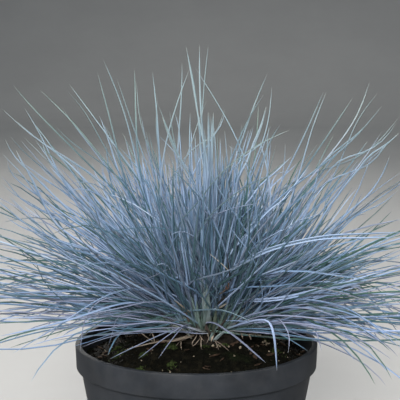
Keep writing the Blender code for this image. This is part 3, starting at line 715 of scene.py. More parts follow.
def leaf_material():
    """Fescue leaf: green at its foot, blue-grey with a wax bloom, and pale at its very tip.
    Painted shade on undersides, outer and tall leaves, painted light on low ones; old leaves
    greyer."""
    material, nodes = new_material("fescue_leaf")
    fibre = use_group(nodes, FIBRE, Lines=10.0, Length=7.0)
    along, streak = fibre["Along"], fibre["Streak"]
    tint, wax, age = nodes.attribute("leaf_kind")
    body = nodes.ramp(
        tint,
        (0.00, (0.030, 0.078, 0.050)),
        (0.16, (0.060, 0.127, 0.172)),
        (0.36, (0.144, 0.232, 0.378)),
        (0.66, (0.268, 0.358, 0.528)),
        (1.00, (0.404, 0.490, 0.606)),
    )
    body = nodes.mix(nodes.step(age, 0.65, 0.95, 0.0, 0.70), body, (0.180, 0.178, 0.225))
    place = nodes.place()
    bloom = nodes.step(nodes.noise(place, 55.0, detail=4.0), 0.38, 0.70)
    bloom = nodes.math("MULTIPLY", nodes.math("MULTIPLY", bloom, wax), 0.40)
    body = nodes.mix(bloom, body, (0.378, 0.452, 0.590))
    # Painted shade: faces that look down are darkened towards a dark blue-green
    under = nodes.step(nodes.upwards(), -0.6, 0.4, 0.60, 0.0)
    body = nodes.mix(under, body, (0.043, 0.091, 0.126))
    body = nodes.mix(nodes.step(streak, 0.35, 0.70, 0.25, 0.0), body, (0.066, 0.126, 0.176))
    x, y, height = nodes.split(place)
    # Painted shade darkens outer leaves and tall ones, and painted light brightens low ones
    reach = nodes.math("ADD", nodes.math("MULTIPLY", x, x), nodes.math("MULTIPLY", y, y))
    outer = nodes.step(reach, OUTER_SHADE_REACH[0] ** 2, OUTER_SHADE_REACH[1] ** 2)
    low = nodes.step(height, 0.14, 0.24, 1.0, 0.0)
    high = nodes.step(height, 0.19, 0.26)
    for share, painted_tone in (
        (outer, (0.90, 0.91, 0.90)), (low, (1.10, 1.03, 1.09)), (high, (0.87, 0.87, 0.90))
    ):
        body = nodes.mix(share, body, painted_tone, "MULTIPLY")
    body = nodes.mix(nodes.step(height, 0.235, 0.300, 0.0, 0.6), body, (0.215, 0.278, 0.250))
    foot = nodes.ramp(
        age,
        (0.00, (0.150, 0.272, 0.245)),
        (0.55, (0.195, 0.302, 0.270)),
        (0.80, (0.225, 0.280, 0.240)),
        (1.00, (0.240, 0.232, 0.200)),
    )
    body = nodes.mix(nodes.step(along, 0.03, 0.32, 0.85, 0.0), body, foot)
    body = nodes.mix(nodes.step(along, 0.97, 1.0, 0.0, 0.5), body, (0.480, 0.500, 0.450))
    close_material(
        nodes,
        Base_Color=body,
        Roughness=nodes.step(streak, 0.2, 0.8, 0.50, 0.68),
        Normal=nodes.bump(streak, 0.00012, 0.7),
        Specular_IOR_Level=0.26,
    )
    return material


def dead_leaf_material():
    """Old sheaths, straw and roots: tan to purple-brown or rusty, dry and fibrous, and green
    where they still live."""
    material, nodes = new_material("dead_leaf")
    fibre = use_group(nodes, FIBRE, Lines=16.0, Length=5.0)
    along, streak = fibre["Along"], fibre["Streak"]
    tint, live, rust = nodes.attribute("leaf_kind")
    body = nodes.ramp(
        tint,
        (0.00, (0.010, 0.009, 0.008)),
        (0.20, (0.060, 0.042, 0.036)),
        (0.42, (0.125, 0.098, 0.080)),
        (0.65, (0.215, 0.178, 0.140)),
        (0.85, (0.350, 0.315, 0.255)),
        (1.00, (0.500, 0.480, 0.430)),
    )
    green = nodes.ramp(
        tint,
        (0.00, (0.030, 0.052, 0.026)),
        (0.40, (0.066, 0.108, 0.092)),
        (0.75, (0.116, 0.168, 0.172)),
        (1.00, (0.205, 0.256, 0.278)),
    )
    body = nodes.mix(live, body, green)
    body = nodes.mix(rust, body, (0.260, 0.125, 0.070))
    streaks = nodes.step(streak, 0.35, 0.65, 0.8, 0.0)
    foot = nodes.step(along, 0.0, 0.25, 0.8, 0.0)
    body = nodes.mix(streaks, body, (0.50, 0.48, 0.46), "MULTIPLY")
    body = nodes.mix(foot, body, (0.45, 0.41, 0.35), "MULTIPLY")
    close_material(
        nodes,
        Base_Color=body,
        Roughness=nodes.step(streak, 0.2, 0.8, 0.6, 0.85),
        Normal=nodes.bump(streak, 0.0003, 0.8),
    )
    return material


def plastic_material():
    """Matte black nursery pot plastic, with a fine moulded grain and dried dust."""
    material, nodes = new_material("pot_plastic")
    place = nodes.place()
    grain = nodes.noise(place, 1400.0, detail=2.0)
    cloud = nodes.noise(place, 26.0, detail=5.0, roughness=0.6)
    body = nodes.mix(nodes.step(cloud, 0.3, 0.7), (0.011, 0.013, 0.016), (0.019, 0.022, 0.027))
    dust = use_group(nodes, DUST, Scale=48.0, Amount=0.36)["Mask"]
    dusty = nodes.math("MULTIPLY", dust, 0.3)
    close_material(
        nodes,
        Base_Color=nodes.mix(dust, body, (0.066, 0.066, 0.066)),
        Roughness=nodes.math("ADD", nodes.step(cloud, 0.2, 0.8, 0.60, 0.74), dusty),
        Normal=nodes.bump(grain, 0.00006, 0.6),
        Specular_IOR_Level=0.10,
    )
    return material


def compost_and_shade_material():
    """Dark, moist compost with brown fibre and a little green algae, darkened further by painted
    shade.
    """
    material, nodes = new_material("compost")
    place = nodes.place()
    lumps = nodes.noise(place, 260.0, detail=8.0, roughness=0.7)
    # Painted shade: the ramp is darker than moist compost, standing in for the shade under the
    # leaves
    body = nodes.ramp(
        lumps,
        (0.30, (0.0008, 0.0008, 0.0006)),
        (0.50, (0.0022, 0.0022, 0.0014)),
        (0.66, (0.0070, 0.0062, 0.0038)),
        (0.80, (0.0240, 0.0200, 0.0130)),
    )
    algae = nodes.step(nodes.noise(place, 38.0), 0.54, 0.70)
    close_material(
        nodes,
        Base_Color=nodes.mix(nodes.math("MULTIPLY", algae, 0.45), body, (0.005, 0.009, 0.003)),
        Roughness=nodes.step(lumps, 0.3, 0.7, 0.75, 0.97),
        Normal=nodes.bump(lumps, 0.0012, 0.9),
        Specular_IOR_Level=0.04,
    )
    return material


def plain_material(name, dark, light, scale, roughness=0.9):
    """A dull surface, mottled between two colours."""
    material, nodes = new_material(name)
    mottle = nodes.noise(nodes.place(), scale, detail=5.0, roughness=0.65)
    close_material(
        nodes,
        Base_Color=nodes.mix(nodes.step(mottle, 0.32, 0.68), dark, light),
        Roughness=nodes.step(mottle, 0.2, 0.8, roughness - 0.15, roughness),
        Normal=nodes.bump(mottle, 0.0004, 0.8),
        Specular_IOR_Level=0.08,
    )
    return material


# Strands: one is modelled straight, then copied along many curves


class Pattern:
    """A straight strand of unit length up +Z, with this section and rings at these heights."""

    def __init__(self, name, stations, section):
        self.stations = np.array(stations)
        sides = len(section)
        piece = primitive(
            "cylinder", name, vertices=sides, radius=0.5, depth=1.0, location=(0, 0, 0.5)
        )
        settle(piece)
        edit(piece)
        cut_level(*stations[1:-1])
        for turn, (x, y) in enumerate(section):
            angle = math.tau * turn / sides
            line = Vector((math.sin(angle), math.cos(angle), 0)) * 0.5
            select_points(piece, lambda co: (co.xy - line.xy).length < 1e-3)
            bpy.ops.transform.translate(value=(x - line.x, y - line.y, 0))
        select_points(piece, lambda co: co.z > 1 - 1e-4)
        bpy.ops.mesh.merge(type="CENTER")
        leave_edit()
        points = points_of(piece.data)
        self.ring = np.abs(points[:, 2:] - self.stations[None]).argmin(axis=1)
        self.offset = points[:, :2]
        self.faces = faces_of(piece.data)
        turns = [math.atan2(x, y) / math.tau % 1 for x, y, _ in points]
        self.uv = []
        for face in self.faces:
            self.uv += self.face_uv(face, turns)
        bpy.data.objects.remove(piece)

    def face_uv(self, face, turns):
        """Share of the way round and along at each corner. The tip, where all sides meet, is
        put in the middle of its face."""
        tip = [self.ring[i] == len(self.stations) - 1 for i in face]
        sides = [turns[i] for i, at_tip in zip(face, tip) if not at_tip]
        wrap = max(sides) - min(sides) > 0.5 and len(face) <= 4
        rounds = [turns[i] + 1 if wrap and turns[i] < 0.5 else turns[i] for i in face]
        sides = [r for r, at_tip in zip(rounds, tip) if not at_tip]
        middle = sum(sides) / len(sides)
        rounds = [middle if at_tip else r for r, at_tip in zip(rounds, tip)]
        return [(r, self.stations[self.ring[i]]) for r, i in zip(rounds, face)]


def unit(vectors):
    return vectors / np.maximum(np.linalg.norm(vectors, axis=-1, keepdims=True), 1e-12)


def strand_piece(name, look, pattern, paths, widths, facing, roll, kinds, *nodes):
    """One finished piece: the pattern copied along each path. The look is a slot and a
    material, paths are (strands, rings, 3), widths and rolls are (strands, rings), facing is
    each strand's heading, and kinds are the three values that shade it."""
    ahead = unit(np.gradient(paths, axis=1))
    level = np.stack([-np.sin(facing), np.cos(facing), np.zeros(len(facing))], axis=-1)
    level = np.repeat(level[:, None], paths.shape[1], axis=1)
    side = unit(level - ahead * (level * ahead).sum(axis=-1, keepdims=True))
    upper = np.cross(ahead, side)
    c, s = np.cos(roll)[..., None], np.sin(roll)[..., None]
    side, upper = side * c + upper * s, upper * c - side * s
    ring, offset = pattern.ring, pattern.offset
    points = paths[:, ring] + widths[:, ring, None] * (
        offset[None, :, :1] * side[:, ring] + offset[None, :, 1:] * upper[:, ring]
    )
    count, size = len(paths), len(ring)
    faces = []
    for strand in range(count):
        faces += [[i + strand * size for i in face] for face in pattern.faces]
    piece = mesh_piece(name, points.reshape(-1, 3), faces)
    mesh = piece.data
    corner = np.array(pattern.uv)
    number = np.repeat(np.arange(count), len(corner))
    rounds, along = np.tile(corner[:, 0], count), np.tile(corner[:, 1], count)
    shade = np.asarray(kinds)[number]
    # Each strand has its own upright strip of the bake map
    bake = np.stack([(number + 0.08 + 0.70 * rounds) / count, 0.01 + 0.98 * along], axis=-1)
    mesh.uv_layers.new(name="OFBake").uv.foreach_set("vector", bake.ravel())
    place = np.stack([along, rounds, shade[:, 0]], axis=-1)
    for key, values in (("leaf_place", place), ("leaf_kind", shade)):
        attribute = mesh.attributes.new(key, "FLOAT_VECTOR", "CORNER")
        attribute.data.foreach_set("vector", values.ravel())
    finish_piece(piece, *look, *nodes)


LEAF_RINGS = (0, 0.06, 0.13, 0.22, 0.33, 0.45, 0.58, 0.71, 0.83, 0.93, 1)
LONG_RINGS = tuple(i / 26 for i in range(27))
LEAF_SECTION = ((0, 0.12), (0.46, 0.32), (0.28, -0.34), (-0.28, -0.34), (-0.46, 0.32))
SHEATH_RINGS = (0, 0.22, 0.45, 0.66, 0.82, 0.93, 1)
SHEATH_SECTION = ((0, 0.02), (0.50, 0.20), (0.34, -0.20), (-0.34, -0.20), (-0.50, 0.20))
ROUND_SECTION = ((0, 0.5), (0.476, 0.155), (0.294, -0.405), (-0.294, -0.405), (-0.476, 0.155))
LEAF = Pattern("leaf_pattern", LEAF_RINGS, LEAF_SECTION)
LONG_LEAF = Pattern("long_leaf_pattern", LONG_RINGS, LEAF_SECTION)
SHEATH = Pattern("sheath_pattern", SHEATH_RINGS, SHEATH_SECTION)
ROOT = Pattern("root_pattern", LONG_RINGS[::2], ROUND_SECTION)

# Width along a strand, as places and shares of its full width
LEAF_TAPER = ((0, 0.1, 0.3, 0.6, 0.8, 0.93, 1), (1.20, 1.12, 1.0, 0.97, 0.86, 0.60, 0))
SHEATH_TAPER = ((0, 0.3, 0.6, 0.85, 1), (0.85, 1.0, 0.9, 0.5, 0))
ROOT_TAPER = ((0, 0.7, 1), (1.0, 0.8, 0))

# Steps of the fine curves that a strand's rings are read from
GROWN_STEPS = 60
TRACED_STEPS = 240


def tapered(pattern, taper, widths):
    return np.asarray(widths)[:, None] * np.interp(pattern.stations, *taper)[None]


def smooth(x):
    x = np.clip(x, 0, 1)
    return x * x * (3 - 2 * x)


def grow(pattern, foot, heading, upright, lean, length, bend, sag, sway, wave, phase):
    """Paths of leaves from their feet, with the pattern's rings. The values are arrays with one
    entry for each leaf, angles in radians: upright is the tilt at the foot, lean the tilt past
    the bend, sag the fall towards the tip, and sway and wave turn the leaf sideways and up and
    down."""
    fine = np.linspace(0, 1, GROWN_STEPS + 1)[None]
    turned = smooth(fine * length[:, None] / bend[:, None])
    tilt = upright[:, None] + (lean - upright)[:, None] * turned
    tilt = tilt + sag[:, None] * fine**2.2
    tilt = tilt + wave[:, None] * np.sin(math.tau * fine * 0.85 + phase[:, None]) * turned
    yaw = heading[:, None] + sway[:, None] * fine**1.5
    yaw = yaw + 0.6 * wave[:, None] * np.sin(math.tau * fine * 0.7 + 2 * phase[:, None])
    ahead = np.stack(
        [np.sin(tilt) * np.cos(yaw), np.sin(tilt) * np.sin(yaw), np.cos(tilt)], axis=-1
    )
    steps = (ahead[:, 1:] + ahead[:, :-1]) / 2 * (length / GROWN_STEPS)[:, None, None]
    walked = np.concatenate([np.zeros_like(steps[:, :1]), np.cumsum(steps, axis=1)], axis=1)
    at = np.searchsorted(fine[0], pattern.stations - 1e-9).clip(0, GROWN_STEPS)
    return foot[:, None] + walked[:, at]


def seen_at(x, y, behind):
    """The point at this pixel of the photograph, this far behind the pot's axis."""
    turn = Matrix.Rotation(math.radians(90 - CAMERA_PITCH), 3, "X")
    centre = IMAGE_SIDE / 2
    ray = turn @ Vector((x - centre, centre - y, -FOCAL_PIXELS))
    return np.array(CAMERA_PLACE + ray * ((behind - CAMERA_PLACE.y) / ray.y))


def traced(numbers, forward=1.0):
    """The points of a traced strand, each put this many times as far in front of the first one
    as it was traced."""
    first = numbers[2]
    return [
        seen_at(x, y, (first + forward * (behind - first)) / 1000)
        for x, y, behind in zip(numbers[::3], numbers[1::3], numbers[2::3])
    ]


def distance_gone(line):
    return np.concatenate([[0], np.cumsum(np.linalg.norm(np.diff(line, axis=0), axis=1))])


def curve_through(points, stations):
    """The evenly bending curve (a cubic spline) through the points, read at shares of its
    length."""
    points = np.asarray(points, float)
    gone = distance_gone(points)
    step = np.diff(gone)
    slope = np.diff(points, axis=0) / step[:, None]
    system, right = np.eye(len(points)), np.zeros_like(points)
    for i in range(1, len(points) - 1):
        system[i, i - 1:i + 2] = step[i - 1], 2 * (step[i - 1] + step[i]), step[i]
        right[i] = 6 * (slope[i] - slope[i - 1])
    bend = np.linalg.solve(system, right)
    fine = np.linspace(0, gone[-1], TRACED_STEPS)
    at = np.searchsorted(gone, fine[1:-1], side="right") - 1
    at = np.concatenate([[0], at, [len(step) - 1]])
    u, h = (fine - gone[at])[:, None], step[at][:, None]
    first = slope[at] - h * (2 * bend[at] + bend[at + 1]) / 6
    line = points[at] + u * (first + u * (bend[at] / 2 + u * (bend[at + 1] - bend[at]) / (6 * h)))
    gone = distance_gone(line)
    wanted = stations * gone[-1]
    return np.stack([np.interp(wanted, gone, line[:, axis]) for axis in range(3)], axis=-1)


# Leaves


def tuft_line(node):
    """The foot of a leaf tuft's solid, the tilt and heading of its leaves, and its tip."""
    points = points_of(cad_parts[node].data)
    start = np.array((CROWN_CENTRE.x, CROWN_CENTRE.y, CROWN_LOW.z - 0.01))
    far = np.linalg.norm(points - start, axis=1)
    foot = points[far < far.min() + 0.004].mean(axis=0)
    x, y, z = points[far > 0.8 * far.max()].mean(axis=0) - foot
    tip = points[np.linalg.norm(points[:, :2] - foot[:2], axis=1).argmax()]
    return foot, math.atan2(math.hypot(x, y), z), math.atan2(y, x), tip


def shortened_in_gaps(lean, yaw, length):
    """Leaves that would grow into a gap between the bundles end before it."""
    side, up = np.sin(lean) * np.cos(yaw), np.cos(lean)
    seen = np.hypot(side, up).clip(0.2, 1)
    angle = np.degrees(np.arctan2(side, up))
    for middle, half_width, start in GAPS:
        inside = np.abs(angle - middle) < half_width + rng.normal(0, 0.6, len(angle))
        limit = start * PIXEL * rng.uniform(0.86, 1.02, len(angle)) / seen
        length = np.where(inside, np.minimum(length, limit), length)
    return length


def clear_front(lean, yaw):
    """Stands up strands that point far to the front, because the plant's foot shows there."""
    side, ahead = np.sin(lean) * np.cos(yaw), np.sin(lean) * np.sin(yaw)
    ahead = np.maximum(ahead, -FRONT_LIMIT)
    lean = np.minimum(lean, np.arcsin(np.hypot(side, ahead).clip(0, 1)))
    return lean, np.arctan2(ahead, side)


def crown_top(x, y):
    """Height of the crown's dome at this place."""
    share = ((x - CROWN_CENTRE.x) ** 2 + (y - CROWN_CENTRE.y) ** 2) / CROWN_RADIUS**2
    return CROWN_LOW.z + CROWN_DOME * np.sqrt(np.clip(1 - share, 0, 1))


def on_crown(places):
    """These places, kept inside the crown's edge, behind its bare front, and set just under
    its dome."""
    away = places[:, :2] - CROWN_CENTRE.xy
    reach = np.linalg.norm(away, axis=1, keepdims=True)
    away *= np.minimum(1, FEET_WITHIN * CROWN_RADIUS / np.maximum(reach, 1e-9))
    front = -FEET_BACK * CROWN_RADIUS
    away[:, 1] = np.where(away[:, 1] < front, front + 0.15 * (away[:, 1] - front), away[:, 1])
    x, y = (away + CROWN_CENTRE.xy).T
    return np.column_stack([x, y, crown_top(x, y) - FOOT_DEPTH])


def front_feet(count):
    """Feet on the front half of the crown, and which way each is from its middle."""
    turn = np.radians(rng.uniform(-165, -15, count))
    around = np.stack([np.cos(turn), np.sin(turn)], axis=-1)
    return on_crown(np.array(CROWN_CENTRE.xy) + CROWN_RADIUS * around), turn


def around_crown(count, inner, outer):
    """Feet spread evenly over the crown's dome, between two shares of its radius, with
    their headings outwards and their share of the radius."""
    number = np.arange(count)
    share = np.sqrt(inner**2 + (outer**2 - inner**2) * (number + 0.5) / count)
    heading = number * math.pi * (3 - math.sqrt(5))
    x = CROWN_CENTRE.x + share * CROWN_RADIUS * np.cos(heading)
    y = CROWN_CENTRE.y + share * CROWN_RADIUS * np.sin(heading)
    return np.column_stack([x, y, crown_top(x, y)]), heading, share


def resting(paths, lift=0.001):
    """Raises paths that would sink into the compost, or into the rim within 6 mm of it."""
    reach = np.hypot(paths[..., 0], paths[..., 1])
    ground = np.where(reach < RIM_RADIUS, soil_height(reach) + lift, 0)
    rim = np.clip(1 - np.abs(reach - (RIM_RADIUS - LIP_WIDTH / 2)) / 0.006, 0, 1)
    ground = np.maximum(ground, np.where(rim > 0, (POT_HEIGHT + lift) * smooth(rim * 2), 0))
    paths[..., 2] = np.maximum(paths[..., 2], ground)
    return paths


def leaf_kinds(count, group=None):
    """Tint, wax and age of each leaf, with leaves of one group alike and a few dull ones."""
    group = np.arange(count) if group is None else group
    tint = rng.normal(0.52, 0.19, group.max() + 1)[group] + rng.normal(0, 0.19, count)
    wax = rng.uniform(0.1, 1, count)
    dull = rng.random(count) < DULL_LEAVES
    tint = np.where(dull, rng.uniform(0, 0.25, count), tint)
    wax = np.where(dull, 0.05, wax)
    return np.stack([np.clip(tint, 0, 1), wax, rng.random(count) ** 1.6], axis=-1)


def dead_kinds(count, low, high):
    """Tints between low and high, with no green and no rust."""
    return np.column_stack([rng.uniform(low, high, count), np.zeros((count, 2))])


def rolls(count, pattern, start=28, twist=60):
    """How far each strand is rolled at each ring: at its foot, and more and more along it."""
    first = np.radians(rng.normal(0, start, count))[:, None]
    return first + np.radians(rng.normal(0, twist, count))[:, None] * pattern.stations[None]


def tuft_leaves(line):
    """Paths, widths, headings, rolls and shades of one tuft's leaves."""
    foot, tilt, heading, tip = line
    leaves = LEAVES_IN_SHOOT if tilt > UPRIGHT_TUFT else UPRIGHT_LEAVES
    count = SHOOTS_IN_TUFT * leaves
    shoot = np.repeat(np.arange(SHOOTS_IN_TUFT), leaves)

    def spread(by_shoot, by_leaf):
        return rng.normal(0, by_shoot, SHOOTS_IN_TUFT)[shoot] + rng.normal(0, by_leaf, count)

    # Direction: round the tuft's own, looser in upright tufts
    wild = rng.random(count) < WILD_LEAVES
    loose = 1.35 - 0.65 * math.sin(tilt) ** 2
    strays = np.radians(rng.normal(0, 20 * loose, (2, count))) * wild
    lean = tilt + loose * np.radians(spread(10.0, 4.5)) + strays[0]
    sideways = loose * np.radians(spread(12.0, 6.0)) + strays[1]
    yaw = heading + sideways / max(0.35, math.sin(tilt))
    yaw = np.where(lean < 0, yaw + math.pi, yaw)
    lean, yaw = clear_front(np.abs(lean), yaw)
    lean = np.minimum(lean, LOWEST_LEAN)
    feet = on_crown(foot[:2] + np.stack([spread(*FEET_SPREAD), spread(*FEET_SPREAD)], axis=-1))
    # Length: a share of the way to the clump's dome
    chance = rng.random(count)
    share = rng.triangular(0.54, 0.86, 1.10, SHOOTS_IN_TUFT)[shoot]
    share = share * rng.uniform(0.80, 1.05, count)
    share = np.where(chance < SHORT_LEAVES, rng.uniform(0.32, 0.62, count), share)
    share = np.where(chance > 1 - LONG_LEAVES, rng.uniform(1.0, 1.25, count), share)
    dome = DOME_HEIGHT + DOME_SHOULDER * np.sin(np.minimum(lean, math.pi / 2)) ** 2
    length = np.minimum(dome * share, LONGEST_LEAF)
    # Low leaves sag at the tip, and those in between curve up
    low = np.sin(np.clip(lean, 0, math.pi / 2)) ** 5
    sag = np.radians(rng.uniform(-6, 50, count)) * low
    sag += np.radians(rng.normal(-11, 10, count)) * np.sin(2 * lean).clip(0, 1) * (1 - low)
    sag += np.radians(rng.normal(-1, 5, count))
    upright = lean * rng.uniform(0.35, 0.90, count)
    bend = rng.uniform(*BEND_LENGTH, count)
    sway = np.radians(spread(17, 9))
    length = shortened_in_gaps(lean + 0.3 * sag, yaw + 0.4 * sway, length)
    wave = np.radians(spread(8, 6))
    phase = rng.uniform(0, math.tau, SHOOTS_IN_TUFT)[shoot] + rng.normal(0, 0.5, count)
    paths = grow(LEAF, feet, yaw, upright, lean, length, bend, sag, sway, wave, phase)
    if tilt > LOW_TUFT:
        # One leaf of a low tuft follows its solid out to the tip
        middle = (feet[0] + tip) / 2 + (0, 0, 0.05 * np.linalg.norm(tip - feet[0]))
        paths[0] = curve_through([feet[0], middle, tip], LEAF.stations)
    paths = resting(paths)
    widths = tapered(LEAF, LEAF_TAPER, rng.uniform(*LEAF_WIDTH, count))
    # Low leaves are darker, duller and older, and tufts on the right are darker
    kinds = leaf_kinds(count, shoot) + np.outer(low, (-0.16, -0.22, 0.22))
    kinds[:, 0] -= 0.14 * max(0, math.cos(heading))
    return paths, widths, yaw, rolls(count, LEAF), kinds.clip(0, 1)


def leaf_tufts(look):
    """A piece of leaves for each tuft's solid. Gives the tufts' feet."""
    nodes = sorted(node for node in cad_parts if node.startswith("leaf_tuft_"))
    lines = [tuft_line(node) for node in nodes]
    for node, line in zip(nodes, lines):
        name = node.replace("leaf_tuft", "leaves")
        strand_piece(name, look, LEAF, *tuft_leaves(line), node)
    return np.array([line[0] for line in lines])


def traced_strands(name, look, pattern, taper, curves, widths, kinds):
    """Strands along curves that were read from the photograph."""
    paths = np.array([curve_through(points, pattern.stations) for points in curves])
    way = paths[:, -1] - paths[:, 0]
    sizes = tapered(pattern, taper, widths)
    yaw = np.arctan2(way[:, 1], way[:, 0])
    turns = rolls(len(paths), pattern, 20, 20)
    strand_piece(name, look, pattern, paths, sizes, yaw, turns, kinds)


def tall_leaves(look, feet):
    """The leaves of the skyline, each rooted in the tuft that keeps it straightest."""
    curves = []
    for tip_x, tip_y, mid_x, mid_y, low_x, low_y in SKYLINE_LEAVES:
        behind = rng.uniform(*SKYLINE_DEPTH)
        points = [
            seen_at(low_x, low_y, behind * 0.5),
            seen_at(mid_x, mid_y, behind * 0.75),
            seen_at(tip_x, tip_y, behind),
        ]
        way = unit(points[1] - points[0])
        tuft = (unit(points[0] - feet) * way).sum(axis=-1).argmax()
        root = feet[tuft] + rng.normal(0, 0.002, 3) * (1, 1, 0)
        curves.append([on_crown(root[None])[0], *points])
    kinds = leaf_kinds(len(curves))
    widths = rng.uniform(0.00095, 0.00130, len(curves))
    traced_strands("tall_leaves", look, LONG_LEAF, LEAF_TAPER, curves, widths, kinds)


def front_leaves(look, feet):
    """The leaves in front, each rooted at the nearest tuft."""
    curves = []
    for row in FRONT_LEAVES:
        points = traced(row[2:], FORWARD)
        tuft = np.linalg.norm(feet - points[0], axis=-1).argmin()
        curves.append([on_crown(feet[tuft][None])[0], *points[1:]])
    count = len(curves)
    widths = [row[0] / 1000 for row in FRONT_LEAVES]
    tints = np.array([row[1] for row in FRONT_LEAVES])
    old = (tints > OLD_TINTS[0]) & (tints < OLD_TINTS[1])
    ages = np.where(old, rng.uniform(0.9, 1.0, count), rng.uniform(0, 0.6, count))
    ages = np.where(tints < DARK_TINT, DARK_AGE, ages)
    kinds = np.stack([tints, smooth(tints * 1.4 - 0.1), ages], axis=-1)
    traced_strands("front_leaves", look, LONG_LEAF, LEAF_TAPER, curves, widths, kinds)


def side_leaves(look):
    """Low leaves that sweep to both sides across the front of the crown."""
    count = SIDE_LEAVES
    feet, _ = front_feet(count)
    left = (feet[:, 0] < CROWN_CENTRE.x) ^ (rng.random(count) < 0.30)
    ahead = np.radians(rng.uniform(-8, 26, count))
    yaw = np.where(left, math.pi + ahead, -ahead)
    lean = np.radians(rng.uniform(72, 92, count))
    paths = grow(
        LONG_LEAF, feet, yaw, lean * rng.uniform(0.55, 0.85, count), lean,
        rng.uniform(0.085, 0.200, count), rng.uniform(0.015, 0.035, count),
        np.radians(rng.uniform(-4, 24, count)), np.radians(rng.normal(0, 14, count)),
        np.radians(rng.normal(0, 6, count)), rng.uniform(0, math.tau, count),
    )
    widths = tapered(LONG_LEAF, LEAF_TAPER, rng.uniform(*LEAF_WIDTH, count))
    kinds, turns = leaf_kinds(count), rolls(count, LONG_LEAF)
    strand_piece("side_leaves", look, LONG_LEAF, resting(paths), widths, yaw, turns, kinds)


def crossing_leaves(look):
    """Fine leaves that lean across the front of the plant, from one side to the other."""
    count = CROSSING_LEAVES
    feet, turn = front_feet(count)
    yaw = math.pi - turn + np.radians(rng.normal(0, 22, count))
    lean = np.radians(rng.uniform(16, 50, count))
    paths = grow(
        LEAF, feet, yaw, lean * rng.uniform(0.2, 0.7, count), lean,
        rng.uniform(0.080, 0.160, count), rng.uniform(0.03, 0.08, count),
        np.radians(rng.normal(6, 16, count)), np.radians(rng.normal(0, 24, count)),
        np.radians(rng.normal(0, 9, count)), rng.uniform(0, math.tau, count),
    )
    widths = tapered(LEAF, LEAF_TAPER, rng.uniform(0.00070, 0.00115, count))
    kinds = (leaf_kinds(count) + (0.14, 0.10, 0)).clip(0, 1)
    turns = rolls(count, LEAF)
    strand_piece("crossing_leaves", look, LEAF, paths, widths, yaw, turns, kinds)


def make_sheaths(look):
    """Short sheaths, green and dead, that the leaves stand in."""
    count = SHEATHS
    feet, heading, share = around_crown(count, 0.05, 0.93)
    lean = np.radians(76 * share**1.5 + rng.normal(0, 9, count))
    heading = heading + np.radians(rng.normal(0, 20, count))
    lean, heading = clear_front(np.abs(lean), heading)
    none = np.zeros(count)
    paths = grow(
        SHEATH, on_crown(feet), heading, lean * 0.5, lean, rng.uniform(0.010, 0.026, count),
        np.full(count, 0.012), np.radians(rng.normal(0, 8, count)),
        np.radians(rng.normal(0, 10, count)), none, none,
    )
    widths = tapered(SHEATH, SHEATH_TAPER, rng.uniform(0.0016, 0.0029, count))
    live = rng.random(count) < 0.80
    kinds = np.stack([rng.uniform(0, 1, count), live, none], axis=-1)
    turns = rolls(count, SHEATH, 40, 30)
    strand_piece("leaf_sheaths", look, SHEATH, paths, widths, heading, turns, kinds)


def make_foot_strands(look):
    """The sheaths and dead leaves that show at the plant's foot."""
    curves = [traced(row[4:]) for row in FOOT_STRANDS]
    widths = [row[0] / 1000 for row in FOOT_STRANDS]
    kinds = np.array([row[1:4] for row in FOOT_STRANDS])
    traced_strands("foot_sheaths", look, SHEATH, SHEATH_TAPER, curves, widths, kinds)


def make_straws(look):
    """Dead leaves that lie over the compost, at the sides and the back of the crown."""
    feet, heading, _ = around_crown(STRAWS, 0.55, 1.0)
    behind = np.sin(heading) > -0.4
    feet, heading = feet[behind], heading[behind]
    count = len(feet)
    feet[:, 2] -= 0.001
    lean = np.radians(rng.uniform(66, 100, count))
    heading = heading + np.radians(rng.normal(0, 32, count))
    paths = grow(
        LONG_LEAF, feet, heading, lean * 0.8, lean, rng.uniform(0.022, 0.064, count),
        np.full(count, 0.016), np.radians(rng.uniform(0, 34, count)),
        np.radians(rng.normal(0, 34, count)), np.radians(rng.normal(0, 10, count)),
        rng.uniform(0, 6, count),
    )
    paths = resting(paths, 0.0014)
    widths = tapered(LONG_LEAF, LEAF_TAPER, rng.uniform(0.0006, 0.0010, count))
    kinds, turns = dead_kinds(count, 0.10, 0.52), rolls(count, LONG_LEAF)
    strand_piece("straw_leaves", look, LONG_LEAF, paths, widths, heading, turns, kinds)


def make_roots(look):
    """The traced roots, and a few more that hang over the crown's edge."""
    curves = [traced(row) for row in ROOTS]
    feet, heading, _ = around_crown(LOOSE_ROOTS, 0.90, 0.98)
    for foot, yaw in zip(feet, heading):
        out = np.array([math.cos(yaw), math.sin(yaw), 0])
        side = np.array([-out[1], out[0], 0]) * rng.normal(0, 0.003)
        low = np.array([0, 0, CROWN_LOW.z - 0.002 - foot[2]])
        reach = rng.uniform(0.005, 0.011)
        curves.append([
            foot, foot + out * reach * 0.6 + side, foot + out * reach + side * 2 + low * 0.6,
            foot + out * reach * 0.9 + side * 2.6 + low,
        ])
    kinds = dead_kinds(len(curves), 0.42, 0.70)
    widths = rng.uniform(0.0005, 0.0008, len(curves))
    traced_strands("hanging_roots", look, ROOT, ROOT_TAPER, curves, widths, kinds)


# Pot


def wall_outside(z):
    top = RIM_RADIUS - BAND_DRAFT - BAND_STEP
    return BASE_RADIUS + (top - BASE_RADIUS) * z / BAND_FOOT


